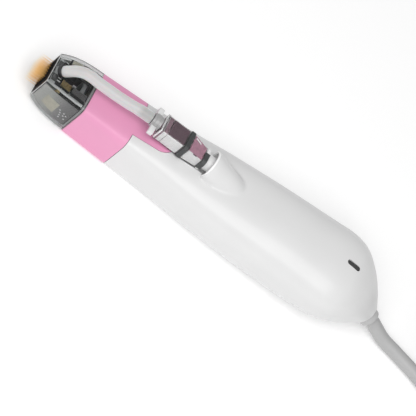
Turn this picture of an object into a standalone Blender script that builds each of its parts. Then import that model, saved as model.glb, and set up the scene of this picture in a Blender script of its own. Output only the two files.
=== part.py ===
"""A radiofrequency microneedling handpiece with its disposable needle cartridge, in-line filter and cord.

Metres, +Z up, the needles towards -X. In the device's own frame a station runs back from the cartridge's
front face, and a height runs up from the axis through the needles. One empty carries that frame to the
world, where the flat belly lies on the table at z = 0.
"""

import math

import bmesh
import bpy
import numpy as np
from mathutils import Matrix, Vector

# Overall form
LENGTH = 0.209
HALF_WIDTH = 0.025
CROWN = 0.0256
DROP = 0.013
BELLY_SHAVE = 0.0008
WALL = 0.0022
GAP = 0.0003
OVERRUN = 0.02
RING_POINTS = 32

# Each row: station of the length, half width, top and bottom of the handle's section, and its squareness.
HANDLE_SHARES = (
    (0.1134, 0.558, 0.512, 0.969, 9.0),
    (0.177, 0.585, 0.535, 0.985, 7.5),
    (0.244, 0.620, 0.5625, 1.0, 6.0),
    (0.316, 0.674, 0.621, 1.0, 4.5),
    (0.392, 0.756, 0.680, 1.0, 3.4),
    (0.469, 0.840, 0.746, 1.0, 3.0),
    (0.553, 0.904, 0.820, 1.0, 2.7),
    (0.636, 0.948, 0.895, 1.0, 2.55),
    (0.718, 0.972, 0.957, 0.962, 2.45),
    (0.789, 0.996, 0.984, 0.838, 2.4),
    (0.847, 1.0, 1.0, 0.669, 2.4),
    (0.885, 0.936, 0.969, 0.577, 2.4),
    (0.909, 0.840, 0.898, 0.531, 2.4),
    (0.933, 0.708, 0.790, 0.500, 2.3),
    (0.9545, 0.556, 0.665, 0.477, 2.25),
    (0.976, 0.390, 0.485, 0.446, 2.15),
    (1.0, 0.200, 0.220, 0.420, 2.1),
)

# Nose sleeve and its tongue
SLEEVE_FRONT = 0.0237
SLEEVE_REAR = 0.0505
TONGUE_HALF = 0.0083
TONGUE_END_RADIUS = 0.0078
TONGUE_REACH = 0.0225
TONGUE_FLOOR = 0.002
ARC_STEPS = 8

# Cartridge
FACE_HALF = 0.0096
FACE_SQUARENESS = 14.0
FLARE_SHARES = ((0, 0), (0.21, 0.41), (0.42, 0.69), (0.63, 0.87), (0.84, 0.966), (1, 1))
BARREL_SPANS = 6
CARTRIDGE_WALL = 0.0012
FACE_WALL = 0.001
APERTURE_HALF = 0.0062
FRAME_HALF = 0.008
FRAME_WALL = 0.001
FRAME_LENGTH = 0.0187
WINDOW_START = 0.0057
WINDOW_LENGTH = 0.011
WINDOW_HALF = 0.0055
GUIDE_DEPTH = 0.0047
PLUG_LENGTH = 0.0117
PLUG_WALL = 0.0012
PLUG_FRONT_WALL = 0.002
PLUG_REAR_WALL = 0.0015
PLUG_MOUTH_RADIUS = 0.0053
FLANGE_START = 0.0007
FLANGE_LENGTH = 0.0024
FLANGE_INSET = 0.0017
ARM_LENGTH = 0.0068
ARM_WIDTH = 0.0013
ARM_HEIGHT = 0.0017
ARM_PITCH = 0.0021
ARM_OFFSET = 0.0041

# Needles
NEEDLE_ROWS = 7
NEEDLE_PITCH = 0.00175
NEEDLE_REACH = 0.008
NEEDLE_RADIUS = 0.00025
NEEDLE_TAPER = 0.002
NEEDLE_TIP_RADIUS = 0.00004
NEEDLE_SIDES = 4
SOCKET_RADIUS = 0.00052
SOCKET_LENGTH = 0.0021
GUIDE_HOLE_RADIUS = 0.00048
HEADER_DEPTH = 0.0006
HEADER_HALF = 0.006
HEADER_BACK = 0.009
CARRIER_DEPTH = 0.0025
STEM_RADIUS = 0.002
STEM_LENGTH = 0.0164
STEM_FLANGE_RADIUS = 0.0045
STEM_FLANGE_DEPTH = 0.0014
SPRING_RADIUS = 0.0034
SPRING_WIRE = 0.0003
SPRING_TURNS = 4
SPRING_POINTS = 10

# Contacts
STRIP_START = 0.0062
STRIP_LENGTH = 0.0055
STRIP_OFFSET = 0.003
STRIP_WIDTH = 0.0036
STRIP_HEIGHT = 0.0012
STRIP_RIBS = 4
STRIP_RIB_SHARE = 0.5
PAD_OFFSET_SHARE = 0.32
PAD_RISE = 0.007
PAD_RADIUS = 0.0016
PAD_DEPTH = 0.0006
PIN_RADIUS = 0.0008
PIN_HEAD_RADIUS = 0.0012
PIN_HEAD_DEPTH = 0.0008
CONTACT_BLOCK_LENGTH = 0.0049
CONTACT_BLOCK_SHARE = 0.4
CONTACT_BLOCK_HEIGHT = 0.0052

# Suction hose: centre line in stations and heights, from the cartridge's top to the connector
HOSE_RADIUS = 0.00295
HOSE_BORE = 0.00195
HOSE_ROUTE = (
    (0.0052, 0.0109),
    (0.0067, 0.0134),
    (0.0090, 0.0170),
    (0.0122, 0.0200),
    (0.0165, 0.0214),
    (0.0230, 0.0214),
    (0.0330, 0.0219),
    (0.0400, 0.0228),
    (0.0468, 0.0233),
)
HOSE_STEPS = 22
HOSE_SIDES = 16
NIPPLE_RADIUS = 0.0015
NIPPLE_LENGTH = 0.0052
NIPPLE_BASE_HALF = 0.0024
NIPPLE_BASE_HEIGHT = 0.0007

# Hose connector and filter
CONNECTOR_FRONT = 0.0535
CONNECTOR_RADIUS = 0.0042
CONNECTOR_LENGTH = 0.0052
CONNECTOR_SPIGOT_RADIUS = 0.0015
CONNECTOR_SPIGOT_LENGTH = 0.006
WING_SPAN = 0.0078
WING_DEPTH = 0.0022
WING_HEIGHT = 0.0026
FILTER_RISE = 0.0233
FILTER_HALF = 0.0066
FILTER_WALL = 0.0012
FILTER_FRONT_LENGTH = 0.0144
FILTER_BAND_HALF = 0.0071
FILTER_BAND_LENGTH = 0.0026
MEMBRANE_DEPTH = 0.0006
TAPER_LENGTH = 0.009
TAPER_END_HALF = 0.0053
NOZZLE_RISE = 0.0215
NOZZLE_BAND_HALF = 0.0057
NOZZLE_BAND_LENGTH = 0.002
NOZZLE_RADIUS = 0.0043
NOZZLE_BORE = 0.0016
NOZZLE_LENGTH = 0.0088
OCTAGON = 8

# Cradle under the filter, and the hood behind it
CRADLE_CLEARANCE = 0.0011
CRADLE_WALL = 0.0026
CRADLE_LEAD_IN = 0.004
HOOD_FRONT = 0.0908
HOOD_LENGTH = 0.0252
HOOD_RADIUS = 0.0084
HOOD_SHARES = ((0, 1, 1), (0.16, 0.95, 0.9), (0.36, 0.8, 0.66), (0.6, 0.56, 0.37), (0.82, 0.34, 0.14), (1, 0.14, 0))
HOOD_RISE = 0.0208
HOOD_TAIL_RISE = 0.0183
HOOD_MOUTH_RADIUS = 0.0067
HOOD_MOUTH_DEPTH = 0.0035
HOOD_BORE_RADIUS = 0.005
HOOD_BORE_DEPTH = 0.0068
SEAL_WIRE = 0.0005
VACUUM_HOLE_RADIUS = 0.0014

# Status window
LENS_SETBACK = 0.0275
LENS_LENGTH = 0.0075
LENS_WIDTH = 0.0023
LENS_DEPTH = 0.0014
LENS_SINK = 0.0003
LIGHT_PIPE_LENGTH = 0.0056
LIGHT_PIPE_WIDTH = 0.0014
LED_SIZE = 0.003
LED_HEIGHT = 0.0012

# Belly cover
COVER_FRONT = 0.058
COVER_REAR_SHARE = 0.651
COVER_HALF = 0.0083
COVER_CORNER = 0.004
SCREW_INSET = 0.004
SCREW_HEAD_RADIUS = 0.0025
SCREW_HEAD_DEPTH = 0.0012
SCREW_RADIUS = 0.0013

# Chassis and drive
CHASSIS_FRONT = 0.046
CHASSIS_REAR_SHARE = 0.6555
CHASSIS_HALF_SHARE = 0.428
CHASSIS_PLATE_SHARE = 0.352
CHASSIS_PLATE = 0.0016
FRONT_UPRIGHT = 0.051
REAR_UPRIGHT = 0.0886
UPRIGHT_DEPTH = 0.0025
FRONT_UPRIGHT_TOP = 0.006
REAR_UPRIGHT_TOP = 0.009
ROD_INSET = 0.0025
ROD_RADIUS = 0.0015
BULKHEAD_STATION = 0.038
BULKHEAD_DEPTH = 0.0022
PUSH_ROD_RADIUS = 0.003
PUSH_ROD_BORE = 0.0024
PUSH_ROD_TIP = 0.002
NUT_STATION = 0.066
NUT_LENGTH = 0.006
NUT_HALF_HEIGHT = 0.0045
SCREW_FRONT = 0.05
LEAD_RADIUS = 0.002
LEAD_THREAD_DEPTH = 0.0003
LEAD_THREAD_PITCH = 0.002
COUPLING_RADIUS = 0.0042
COUPLING_LENGTH = 0.0057
SHAFT_RADIUS = 0.0014
SHAFT_REACH = 0.004
MOTOR_FLANGE_HALF = 0.0085
MOTOR_FLANGE_DEPTH = 0.002
MOTOR_RADIUS = 0.008
MOTOR_LENGTH = 0.0236
ENCODER_RADIUS = 0.006
ENCODER_LENGTH = 0.0042

# Electronics
BOARD_FRONT = 0.131
BOARD_SETBACK = 0.0245
BOARD_LAP = 0.002
BOARD_BASE = 0.0073
BOARD_THICKNESS = 0.0016
SHELF_DEPTH = 0.0016
SHELF_WIDTH = 0.0081
SHELF_REACH_SHARE = 0.924
SHELF_MARGIN = 0.002
TRANSFORMER_START_SHARE = 0.17
TRANSFORMER_LENGTH_SHARE = 0.26
TRANSFORMER_HALF = 0.006
TRANSFORMER_OFFSET = -0.006
TRANSFORMER_HEIGHT = 0.0085
WIRE_RADIUS = 0.0008
LOOM_RADIUS = 0.0015
WIRE_STEPS = 14

# Vacuum line inside the handle
ELBOW_STATION = 0.094
ELBOW_LENGTH = 0.007
ELBOW_HALF = 0.0035
ELBOW_BASE = 0.0086
ELBOW_HEIGHT = 0.0034
ELBOW_SPIGOT_RADIUS = 0.0011
ELBOW_SPIGOT_LENGTH = 0.004
VACUUM_RADIUS = 0.002
VACUUM_BORE = 0.0014
VACUUM_SETBACK = 0.019

# The vacuum tube's way back: how far along each place is, as a share, and its distance aside and height
VACUUM_SPOT_SHARES = (0, 0.12, 0.256, 0.414, 0.662, 0.842, 1)
VACUUM_PLACES = (
    (0.0, 0.0104),
    (0.0, 0.0105),
    (0.005, 0.0112),
    (0.0098, 0.0125),
    (0.0105, 0.0127),
    (0.0085, 0.0122),
    (0.004, 0.0112),
)

# Gland and cord
GLAND_SETBACK = 0.0024
GLAND_RISE = -0.0012
GLAND_TILT = math.radians(25)
GLAND_RADIUS = 0.0051
GLAND_LENGTH = 0.0036
GLAND_ROUND = 0.0016
GLAND_OVERHANG = 0.003
GLAND_NECK_RADIUS = 0.0038
GLAND_NECK_LENGTH = 0.0035
CORD_RADIUS = 0.00375
CORE_LENGTH = 0.011
CLAMP_RADIUS = 0.0056
CLAMP_LENGTH = 0.004
CLAMP_SETBACK = 0.004

# The lead's route from the gland to the hank, chosen by hand: distance behind the gland, aside, and height
LEAD_ROUTE = (
    (0.0128, -0.0019, 0.0047),
    (0.0222, -0.0036, 0.0040),
    (0.0365, -0.0071, 0.0041),
    (0.0450, -0.0101, 0.0044),
    (0.0530, -0.0133, 0.0047),
)
LEAD_POINTS = 16

# Hank: the cord's long loops, which lie side by side and in layers
HANK_BEHIND = 0.1126
HANK_ASIDE = 0.0175
HANK_RUN = 0.084
HANK_OUTER = 0.0311
HANK_STEP = 0.0086
HANK_RISE = 0.0081
HANK_DRAW = 0.01
HANK_BASE = 0.001
HANK_START_TURN = -0.125
HANK_END_TURN = 3.96
HANK_CLIMB = 0.5
HANK_STEPS = 24
HANK_STRAIGHT = 0.0075
RUN_SHARE = 0.25
TAIL_LENGTH = 0.018
TAIL_POINTS = 5
TAIL_ANGLE = 0.12
TAIL_CLIMB = 0.15

# Plug
BOOT_LENGTH = 0.022
BOOT_RADIUS = 0.0062
PLUG_RADIUS = 0.0092
PLUG_BODY_LENGTH = 0.036
PLUG_NOSE_RADIUS = 0.0078
PLUG_CUP_RADIUS = 0.0064
PLUG_CUP_DEPTH = 0.008
PLUG_PIN_COUNT = 7
PLUG_PIN_RADIUS = 0.0006
PLUG_PIN_CIRCLE = 0.0038
PLUG_PIN_LENGTH = 0.005
INSERT_DEPTH = 0.002

# Tie round the hank
TIE_WIDTH = 0.011
TIE_THICKNESS = 0.0006
TIE_STEPS = 12

COLOURS = {
    "white": ((0.86, 0.86, 0.85), 0.28, 0.0),
    "pink": ((0.91, 0.43, 0.62), 0.38, 0.0),
    "smoke": ((0.16, 0.17, 0.17), 0.12, 0.0),
    "pale": ((0.62, 0.63, 0.62), 0.35, 0.0),
    "dark": ((0.03, 0.03, 0.035), 0.4, 0.0),
    "gold": ((0.83, 0.51, 0.19), 0.28, 1.0),
    "steel": ((0.62, 0.62, 0.62), 0.3, 1.0),
    "clear": ((0.8, 0.82, 0.82), 0.05, 0.0),
    "rubber": ((0.55, 0.55, 0.55), 0.6, 0.0),
    "board": ((0.03, 0.16, 0.07), 0.45, 0.0),
}


def clear_scene():
    for obj in list(bpy.data.objects):
        bpy.data.objects.remove(obj, do_unlink=True)
    parts = bpy.data.collections.new("microneedling_handpiece")
    cutters = bpy.data.collections.new("cutters")
    bpy.context.scene.collection.children.link(parts)
    bpy.context.scene.collection.children.link(cutters)
    cutters.hide_render = True
    return parts, cutters


PARTS, CUTTERS = clear_scene()
DEVICE = bpy.data.objects.new("device_frame", None)
PARTS.objects.link(DEVICE)
DEVICE.location = ((NEEDLE_REACH - LENGTH - GLAND_OVERHANG) / 2, 0, DROP)
bpy.context.view_layer.update()


def material(finish):
    """The Principled material of one finish, made the first time it is asked for."""
    if finish in bpy.data.materials:
        return bpy.data.materials[finish]
    colour, roughness, metallic = COLOURS[finish]
    made = bpy.data.materials.new(finish)
    made.use_nodes = True
    shader = made.node_tree.nodes["Principled BSDF"]
    shader.inputs["Base Color"].default_value = (*colour, 1)
    shader.inputs["Roughness"].default_value = roughness
    shader.inputs["Metallic"].default_value = metallic
    made.diffuse_color = (*colour, 1)
    return made


def own_material(name, finish):
    """A copy of the finish for this one part."""
    own = material(finish).copy()
    own.name = name
    return own


def adopt(obj, finish=None, parent=DEVICE, collection=None):
    """Puts an object in its collection and frame, and gives it its finish."""
    for used in list(obj.users_collection):
        used.objects.unlink(obj)
    (collection or (PARTS if finish else CUTTERS)).objects.link(obj)
    obj.parent = parent
    if finish:
        obj.data.materials.clear()
        obj.data.materials.append(own_material(obj.name, finish))
    else:
        obj.hide_render = True
        obj.display_type = "WIRE"
    return obj


def from_bmesh(name, mesh, finish=None):
    bmesh.ops.recalc_face_normals(mesh, faces=mesh.faces)
    data = bpy.data.meshes.new(name)
    mesh.to_mesh(data)
    mesh.free()
    data.shade_smooth()
    data.set_sharp_from_angle(angle=math.radians(35))
    return adopt(bpy.data.objects.new(name, data), finish)


def box(name, low, high, finish=None):
    mesh = bmesh.new()
    centre = [(a + b) / 2 for a, b in zip(low, high)]
    size = [b - a for a, b in zip(low, high)]
    bmesh.ops.create_cube(mesh, size=1, matrix=Matrix.Translation(centre) @ Matrix.Diagonal((*size, 1)))
    return from_bmesh(name, mesh, finish)


def rod(name, start, end, radius, finish=None, end_radius=None, sides=24):
    """A cylinder or cone between two points."""
    start, end = Vector(start), Vector(end)
    turn = Vector((0, 0, 1)).rotation_difference(end - start).to_matrix().to_4x4()
    mesh = bmesh.new()
    bmesh.ops.create_cone(
        mesh,
        cap_ends=True,
        segments=sides,
        radius1=radius,
        radius2=radius if end_radius is None else end_radius,
        depth=(end - start).length,
        matrix=Matrix.Translation((start + end) / 2) @ turn,
    )
    return from_bmesh(name, mesh, finish)


def along(name, station, length, radius, finish=None, offset=0, rise=0, sides=24):
    """A cylinder that runs back along the device."""
    start = (station, offset, rise)
    return rod(name, start, (station + length, offset, rise), radius, finish, sides=sides)


def loft(name, rings, finish=None):
    """A closed skin through rings of as many points each."""
    mesh = bmesh.new()
    rows = [[mesh.verts.new(point) for point in ring] for ring in rings]
    for front, back in zip(rows, rows[1:]):
        for i in range(len(front)):
            j = (i + 1) % len(front)
            mesh.faces.new((front[i], front[j], back[j], back[i]))
    mesh.faces.new(rows[0])
    mesh.faces.new(rows[-1])
    return from_bmesh(name, mesh, finish)


def turned(name, profile, start, direction, finish=None, sides=24):
    """A profile of (radius, distance from the start) turned about the direction. It runs from far to near."""
    data = bpy.data.meshes.new(name)
    points = [(radius, 0, reach) for radius, reach in profile]
    closed = profile[0][0] > 0
    edges = [(i, i + 1) for i in range(len(points) - 1)] + ([(len(points) - 1, 0)] if closed else [])
    data.from_pydata(points, edges, [])
    obj = adopt(bpy.data.objects.new(name, data), finish)
    obj.location = start
    obj.rotation_mode = "QUATERNION"
    obj.rotation_quaternion = Vector((0, 0, 1)).rotation_difference(Vector(direction))
    screw = obj.modifiers.new("turn", "SCREW")
    screw.axis = "Z"
    screw.steps = screw.render_steps = sides
    screw.use_merge_vertices = True
    screw.merge_threshold = 1e-6
    screw.use_smooth_shade = False
    return obj


def prism(name, outline, low, high, finish=None):
    """A flat outline of (station, offset) points, extruded upwards from low to high."""
    curve = bpy.data.curves.new(name, "CURVE")
    curve.dimensions = "2D"
    curve.fill_mode = "BOTH"
    curve.extrude = (high - low) / 2
    line = curve.splines.new("POLY")
    line.points.add(len(outline) - 1)
    for point, (x, y) in zip(line.points, outline):
        point.co = (x, y, 0, 1)
    line.use_cyclic_u = True
    guide = bpy.data.objects.new(name + "_outline", curve)
    CUTTERS.objects.link(guide)
    guide.location = (0, 0, (low + high) / 2)
    return meshed(guide, name, finish)


def meshed(guide, name, finish=None):
    """The welded mesh of a curve object, which is then removed."""
    bpy.context.view_layer.update()
    data = bpy.data.meshes.new_from_object(guide.evaluated_get(bpy.context.evaluated_depsgraph_get()))
    data.transform(guide.matrix_world)
    mesh = bmesh.new()
    mesh.from_mesh(data)
    bmesh.ops.remove_doubles(mesh, verts=mesh.verts, dist=1e-6)
    bpy.data.objects.remove(guide, do_unlink=True)
    bpy.data.meshes.remove(data)
    return from_bmesh(name, mesh, finish)


def tube(name, points, radius, finish=None, parent=DEVICE, resolution=2):
    """A round tube along the points, with closed ends."""
    curve = bpy.data.curves.new(name, "CURVE")
    curve.dimensions = "3D"
    curve.bevel_depth = radius
    curve.bevel_resolution = resolution
    curve.use_fill_caps = True
    line = curve.splines.new("POLY")
    line.points.add(len(points) - 1)
    for point, place in zip(line.points, points):
        point.co = (*place, 1)
    return adopt(bpy.data.objects.new(name, curve), finish, parent)


def combine(obj, other, operation):
    step = obj.modifiers.new(other.name, "BOOLEAN")
    step.operation = operation
    step.solver = "EXACT"
    step.object = other
    return obj


def cut(obj, *cutters):
    for cutter in cutters:
        combine(obj, cutter, "DIFFERENCE")
    return obj


def join(obj, *others):
    for other in others:
        combine(obj, other, "UNION")
    return obj


def keep(obj, other):
    return combine(obj, other, "INTERSECT")


def copied(obj, name, finish=None):
    """A plain mesh of the object as its modifiers leave it, in the device's frame."""
    bpy.context.view_layer.update()
    data = bpy.data.meshes.new_from_object(obj.evaluated_get(bpy.context.evaluated_depsgraph_get()))
    data.name = name
    made = adopt(bpy.data.objects.new(name, data), finish)
    made.matrix_basis = obj.matrix_basis.copy()
    return made


def curve_through(points, count):
    """Evenly spaced places on a smooth curve through the points."""
    nodes = np.array(points, dtype=float)
    padded = np.vstack([2 * nodes[0] - nodes[1], nodes, 2 * nodes[-1] - nodes[-2]])
    fine = []
    for i in range(1, len(padded) - 2):
        before, here, after, beyond = padded[i - 1 : i + 3]
        for t in np.linspace(0, 1, 24, endpoint=False):
            fine.append(
                0.5
                * (
                    2 * here
                    + (after - before) * t
                    + (2 * before - 5 * here + 4 * after - beyond) * t**2
                    + (3 * here - before - 3 * after + beyond) * t**3
                )
            )
    fine = np.array(fine + [nodes[-1]])
    reach = np.concatenate([[0], np.cumsum(np.linalg.norm(np.diff(fine, axis=0), axis=1))])
    spots = np.linspace(0, reach[-1], count)
    return [tuple(np.interp(spot, reach, fine[:, k]) for k in range(nodes.shape[1])) for spot in spots]


def straight_ended(route, count):
    """A smooth curve whose first and last legs stay straight, so that its ends are square to what they meet."""
    return [route[0], *curve_through(route[1:-1], count), route[-1]]


def smooth_row(rows, station):
    """The row of a table at a station, by a smooth curve through its rows."""
    table = np.array(rows, dtype=float)
    i = int(np.clip(np.searchsorted(table[:, 0], station) - 1, 0, len(table) - 2))
    before, here = table[max(i - 1, 0)], table[i]
    after, beyond = table[i + 1], table[min(i + 2, len(table) - 1)]
    span = after[0] - here[0]
    t = (station - here[0]) / span
    slope_here = (after - before) / (after[0] - before[0]) * span
    slope_after = (beyond - here) / (beyond[0] - here[0]) * span
    return (
        (2 * t**3 - 3 * t**2 + 1) * here
        + (t**3 - 2 * t**2 + t) * slope_here
        + (3 * t**2 - 2 * t**3) * after
        + (t**3 - t**2) * slope_after
    )


def handle_section(station):
    """Half width, top, bottom and squareness of the handle at a station."""
    _, width, top, bottom, squareness = smooth_row(HANDLE_SHARES, station / LENGTH)
    return width * HALF_WIDTH, top * CROWN, -bottom * DROP, squareness


def ring(station, half_width, top, bottom, squareness, floor=None):
    """Points round a rounded square, from a square's corners to an ellipse as the squareness falls to 2."""
    middle, half_height = (top + bottom) / 2, (top - bottom) / 2
    points = []
    for k in range(RING_POINTS):
        angle = 2 * math.pi * (k + 0.5) / RING_POINTS
        across, up = math.cos(angle), math.sin(angle)
        y = half_width * math.copysign(abs(across) ** (2 / squareness), across)
        z = middle + half_height * math.copysign(abs(up) ** (2 / squareness), up)
        points.append((station, y, z if floor is None else max(z, floor)))
    return points


def handle_ring(station, inset=0):
    half_width, top, bottom, squareness = handle_section(station)
    shaved = bottom - BELLY_SHAVE
    return ring(
        station, half_width - inset, top - inset, shaved + inset, squareness, floor=-DROP + inset
    )


def handle_stations(first, last):
    """The table's stations between the first and last, and those two."""
    inner = [row[0] * LENGTH for row in HANDLE_SHARES if first < row[0] * LENGTH < last]
    return [first, *inner, last]


def octagon(station, half, rise):
    """A ring of eight corners with a flat on top, its flats that far from the centre."""
    corner = half / math.cos(math.pi / OCTAGON)
    angles = [math.pi * (2 * k + 1) / OCTAGON for k in range(OCTAGON)]
    return [(station, corner * math.cos(angle), rise + corner * math.sin(angle)) for angle in angles]


def circle(station, radius, rise, sides=32):
    angles = [2 * math.pi * (k + 0.5) / sides for k in range(sides)]
    return [(station, radius * math.cos(angle), rise + radius * math.sin(angle)) for angle in angles]


def tongue_outline(extra=0):
    """The tongue seen from above: nearly straight sides and a round end."""
    centre = SLEEVE_REAR + TONGUE_REACH - TONGUE_END_RADIUS
    start = SLEEVE_REAR - OVERRUN
    flare = (TONGUE_HALF - TONGUE_END_RADIUS) / (centre - SLEEVE_REAR)
    half_start = TONGUE_HALF + extra + flare * OVERRUN
    angles = [math.pi * (k / ARC_STEPS - 0.5) for k in range(ARC_STEPS + 1)]
    radius = TONGUE_END_RADIUS + extra
    arc = [(centre + radius * math.cos(angle), radius * math.sin(angle)) for angle in angles]
    return [(start, -half_start), *arc, (start, half_start)]


def rounded_outline(corners, radius):
    """A polygon with each corner replaced by an arc."""
    points = []
    for i, corner in enumerate(corners):
        here = Vector(corner)
        before = (Vector(corners[i - 1]) - here).normalized()
        after = (Vector(corners[(i + 1) % len(corners)]) - here).normalized()
        half = before.angle(after) / 2
        centre = here + (before + after).normalized() * radius / math.sin(half)
        first = here + before * radius / math.tan(half) - centre
        last = here + after * radius / math.tan(half) - centre
        turn = first.angle_signed(last)
        for k in range(ARC_STEPS + 1):
            points.append(tuple(centre + Matrix.Rotation(-turn * k / ARC_STEPS, 2) @ first))
    return points


def capsule_outline(station, length, width, extra=0):
    """A slot with round ends whose length lies along the device."""
    radius = width / 2 + extra
    reach = (length - width) / 2
    points = []
    for side, turn in ((1, -0.5), (-1, 0.5)):
        for k in range(ARC_STEPS + 1):
            angle = math.pi * (turn + k / ARC_STEPS)
            points.append((station + side * reach + radius * math.cos(angle), radius * math.sin(angle)))
    return points


def cover_outline(inset=0):
    front, rear, half = COVER_FRONT + inset, COVER_REAR - inset, COVER_HALF - inset
    corners = ((front, -half), (rear, -half), (rear, half), (front, half))
    return rounded_outline(corners, COVER_CORNER - inset)


# Places that several pieces share
LENS_STATION = LENGTH - LENS_SETBACK
BOARD_REAR = LENGTH - BOARD_SETBACK
COVER_REAR = COVER_REAR_SHARE * LENGTH
CHASSIS_REAR = CHASSIS_REAR_SHARE * LENGTH
CHASSIS_HALF = CHASSIS_HALF_SHARE * HALF_WIDTH
CHASSIS_PLATE_HALF = CHASSIS_PLATE_SHARE * HALF_WIDTH
ROD_OFFSET = CHASSIS_HALF - ROD_INSET
SHELF_OUTER = SHELF_REACH_SHARE * HALF_WIDTH
SHELF_INNER = SHELF_OUTER - SHELF_WIDTH
BOARD_HALF = SHELF_INNER + BOARD_LAP
PAD_OFFSET = PAD_OFFSET_SHARE * HALF_WIDTH
CONTACT_BLOCK_HALF = CONTACT_BLOCK_SHARE * HALF_WIDTH
FILTER_FRONT = CONNECTOR_FRONT + CONNECTOR_LENGTH + GAP
BAND_FRONT = FILTER_FRONT + FILTER_FRONT_LENGTH + GAP
TAPER_FRONT = BAND_FRONT + FILTER_BAND_LENGTH + GAP
NOZZLE_BAND_FRONT = TAPER_FRONT + TAPER_LENGTH + GAP
NOZZLE_FRONT = NOZZLE_BAND_FRONT + NOZZLE_BAND_LENGTH + GAP
FRAME_FRONT = FACE_WALL + GAP
FRAME_REAR = FRAME_FRONT + FRAME_LENGTH
PLUG_FRONT = FRAME_REAR + GAP
PLUG_REAR = PLUG_FRONT + PLUG_LENGTH
CARRIER_FRONT = HEADER_BACK + GAP
STEM_END = CARRIER_FRONT + CARRIER_DEPTH + STEM_LENGTH + STEM_FLANGE_DEPTH
PUSH_ROD_FRONT = STEM_END + GAP
CHASSIS_BASE = -DROP + WALL + GAP
MOTOR_STATION = REAR_UPRIGHT + UPRIGHT_DEPTH + GAP
COUPLING_STATION = REAR_UPRIGHT - GAP - COUPLING_LENGTH
BOARD_TOP = BOARD_BASE + BOARD_THICKNESS
GLAND_AXIS = Vector((math.cos(GLAND_TILT), 0, -math.sin(GLAND_TILT)))
GLAND_SEAT = Vector((LENGTH - GLAND_SETBACK, 0, GLAND_RISE))
CORD_EXIT = DEVICE.matrix_world @ (GLAND_SEAT + GLAND_AXIS * (GLAND_LENGTH + 2 * GAP))


def cradle_rings(extra):
    """Rings round the filter's underside, that much wider than the filter."""
    shapes = (
        (FILTER_FRONT - CRADLE_LEAD_IN, FILTER_BAND_HALF, FILTER_RISE),
        (TAPER_FRONT, FILTER_BAND_HALF, FILTER_RISE),
        (NOZZLE_BAND_FRONT, NOZZLE_BAND_HALF, NOZZLE_RISE),
        (HOOD_FRONT + GAP, NOZZLE_BAND_HALF, NOZZLE_RISE),
    )
    return [circle(station, half + extra, rise) for station, half, rise in shapes]


def hood_rings():
    rings = []
    for back, size, lift in HOOD_SHARES:
        rise = HOOD_TAIL_RISE + (HOOD_RISE - HOOD_TAIL_RISE) * lift
        rings.append(circle(HOOD_FRONT + HOOD_LENGTH * back, HOOD_RADIUS * size, rise))
    return rings


def whole_shell():
    """The one curved wall that the sleeve, the housing and the belly cover are cut from."""
    shell = loft("shell_outer", [handle_ring(x) for x in handle_stations(SLEEVE_FRONT, LENGTH)])
    hollow_end = LENGTH - 2 * WALL
    inner = [handle_ring(x, WALL) for x in handle_stations(SLEEVE_FRONT, hollow_end)]
    front_ring = [(SLEEVE_FRONT - WALL, y, z) for _, y, z in inner[0]]
    hollow = loft("shell_hollow", [front_ring, *inner])
    cut(hollow, loft("cradle_wall", cradle_rings(CRADLE_CLEARANCE + CRADLE_WALL)))
    walls = cut(shell, copied(hollow, "shell_room"))
    join(walls, loft("hood_form", hood_rings()))
    mouth = along(
        "hood_mouth", HOOD_FRONT - GAP, HOOD_MOUTH_DEPTH + GAP, HOOD_MOUTH_RADIUS, rise=NOZZLE_RISE, sides=32
    )
    bore = along(
        "hood_bore", HOOD_FRONT, HOOD_BORE_DEPTH + HOOD_MOUTH_DEPTH, HOOD_BORE_RADIUS, rise=NOZZLE_RISE, sides=32
    )
    passage_station = ELBOW_STATION + ELBOW_LENGTH / 2
    passage = rod(
        "hood_passage",
        (passage_station, 0, NOZZLE_RISE),
        (passage_station, 0, ELBOW_BASE),
        VACUUM_HOLE_RADIUS,
        sides=12,
    )
    cradle = loft("cradle", cradle_rings(CRADLE_CLEARANCE))
    return copied(cut(walls, cradle, mouth, bore, passage), "shell_whole")


def seat_cutter():
    """A block whose near face is the flat that the gland lies on."""
    side = OVERRUN
    low = (0, -side, -side)
    high = (2 * side, side, side)
    block = box("gland_seat", low, high)
    block.rotation_euler = (0, GLAND_TILT, 0)
    block.location = GLAND_SEAT
    return block


def sleeve_and_housing(shell):
    """Cuts the whole wall into the pink sleeve and the white housing."""
    high = CROWN + OVERRUN
    side = HALF_WIDTH + OVERRUN
    tongue = prism("tongue_outline", tongue_outline(), TONGUE_FLOOR, high)
    tongue_room = prism("tongue_room", tongue_outline(GAP), TONGUE_FLOOR - OVERRUN, high)
    rear = box("rear_region", (SLEEVE_REAR, -side, -side), (LENGTH + OVERRUN, side, high))
    cut(rear, tongue)
    cut(copied(shell, "nose_sleeve", "pink"), rear)

    front = box("front_region", (0, -side, -side), (SLEEVE_REAR + GAP, side, high))
    above = box("above_floor", (0, -side, TONGUE_FLOOR - GAP), (LENGTH, side, high + OVERRUN))
    keep(tongue_room, above)
    hatch = prism("hatch", cover_outline(), -DROP - OVERRUN, CHASSIS_BASE)
    housing = cut(copied(shell, "main_housing", "white"), front, tongue_room, hatch, seat_cutter())
    add_shelves(housing)
    neck_room = rod(
        "neck_room",
        GLAND_SEAT + GLAND_AXIS * OVERRUN,
        GLAND_SEAT - GLAND_AXIS * (GLAND_NECK_LENGTH + 2 * WALL),
        GLAND_NECK_RADIUS + GAP,
    )
    slot = prism("lens_slot", capsule_outline(LENS_STATION, LENS_LENGTH, LENS_WIDTH, GAP), BOARD_TOP, high)
    cut(housing, neck_room, slot)


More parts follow.
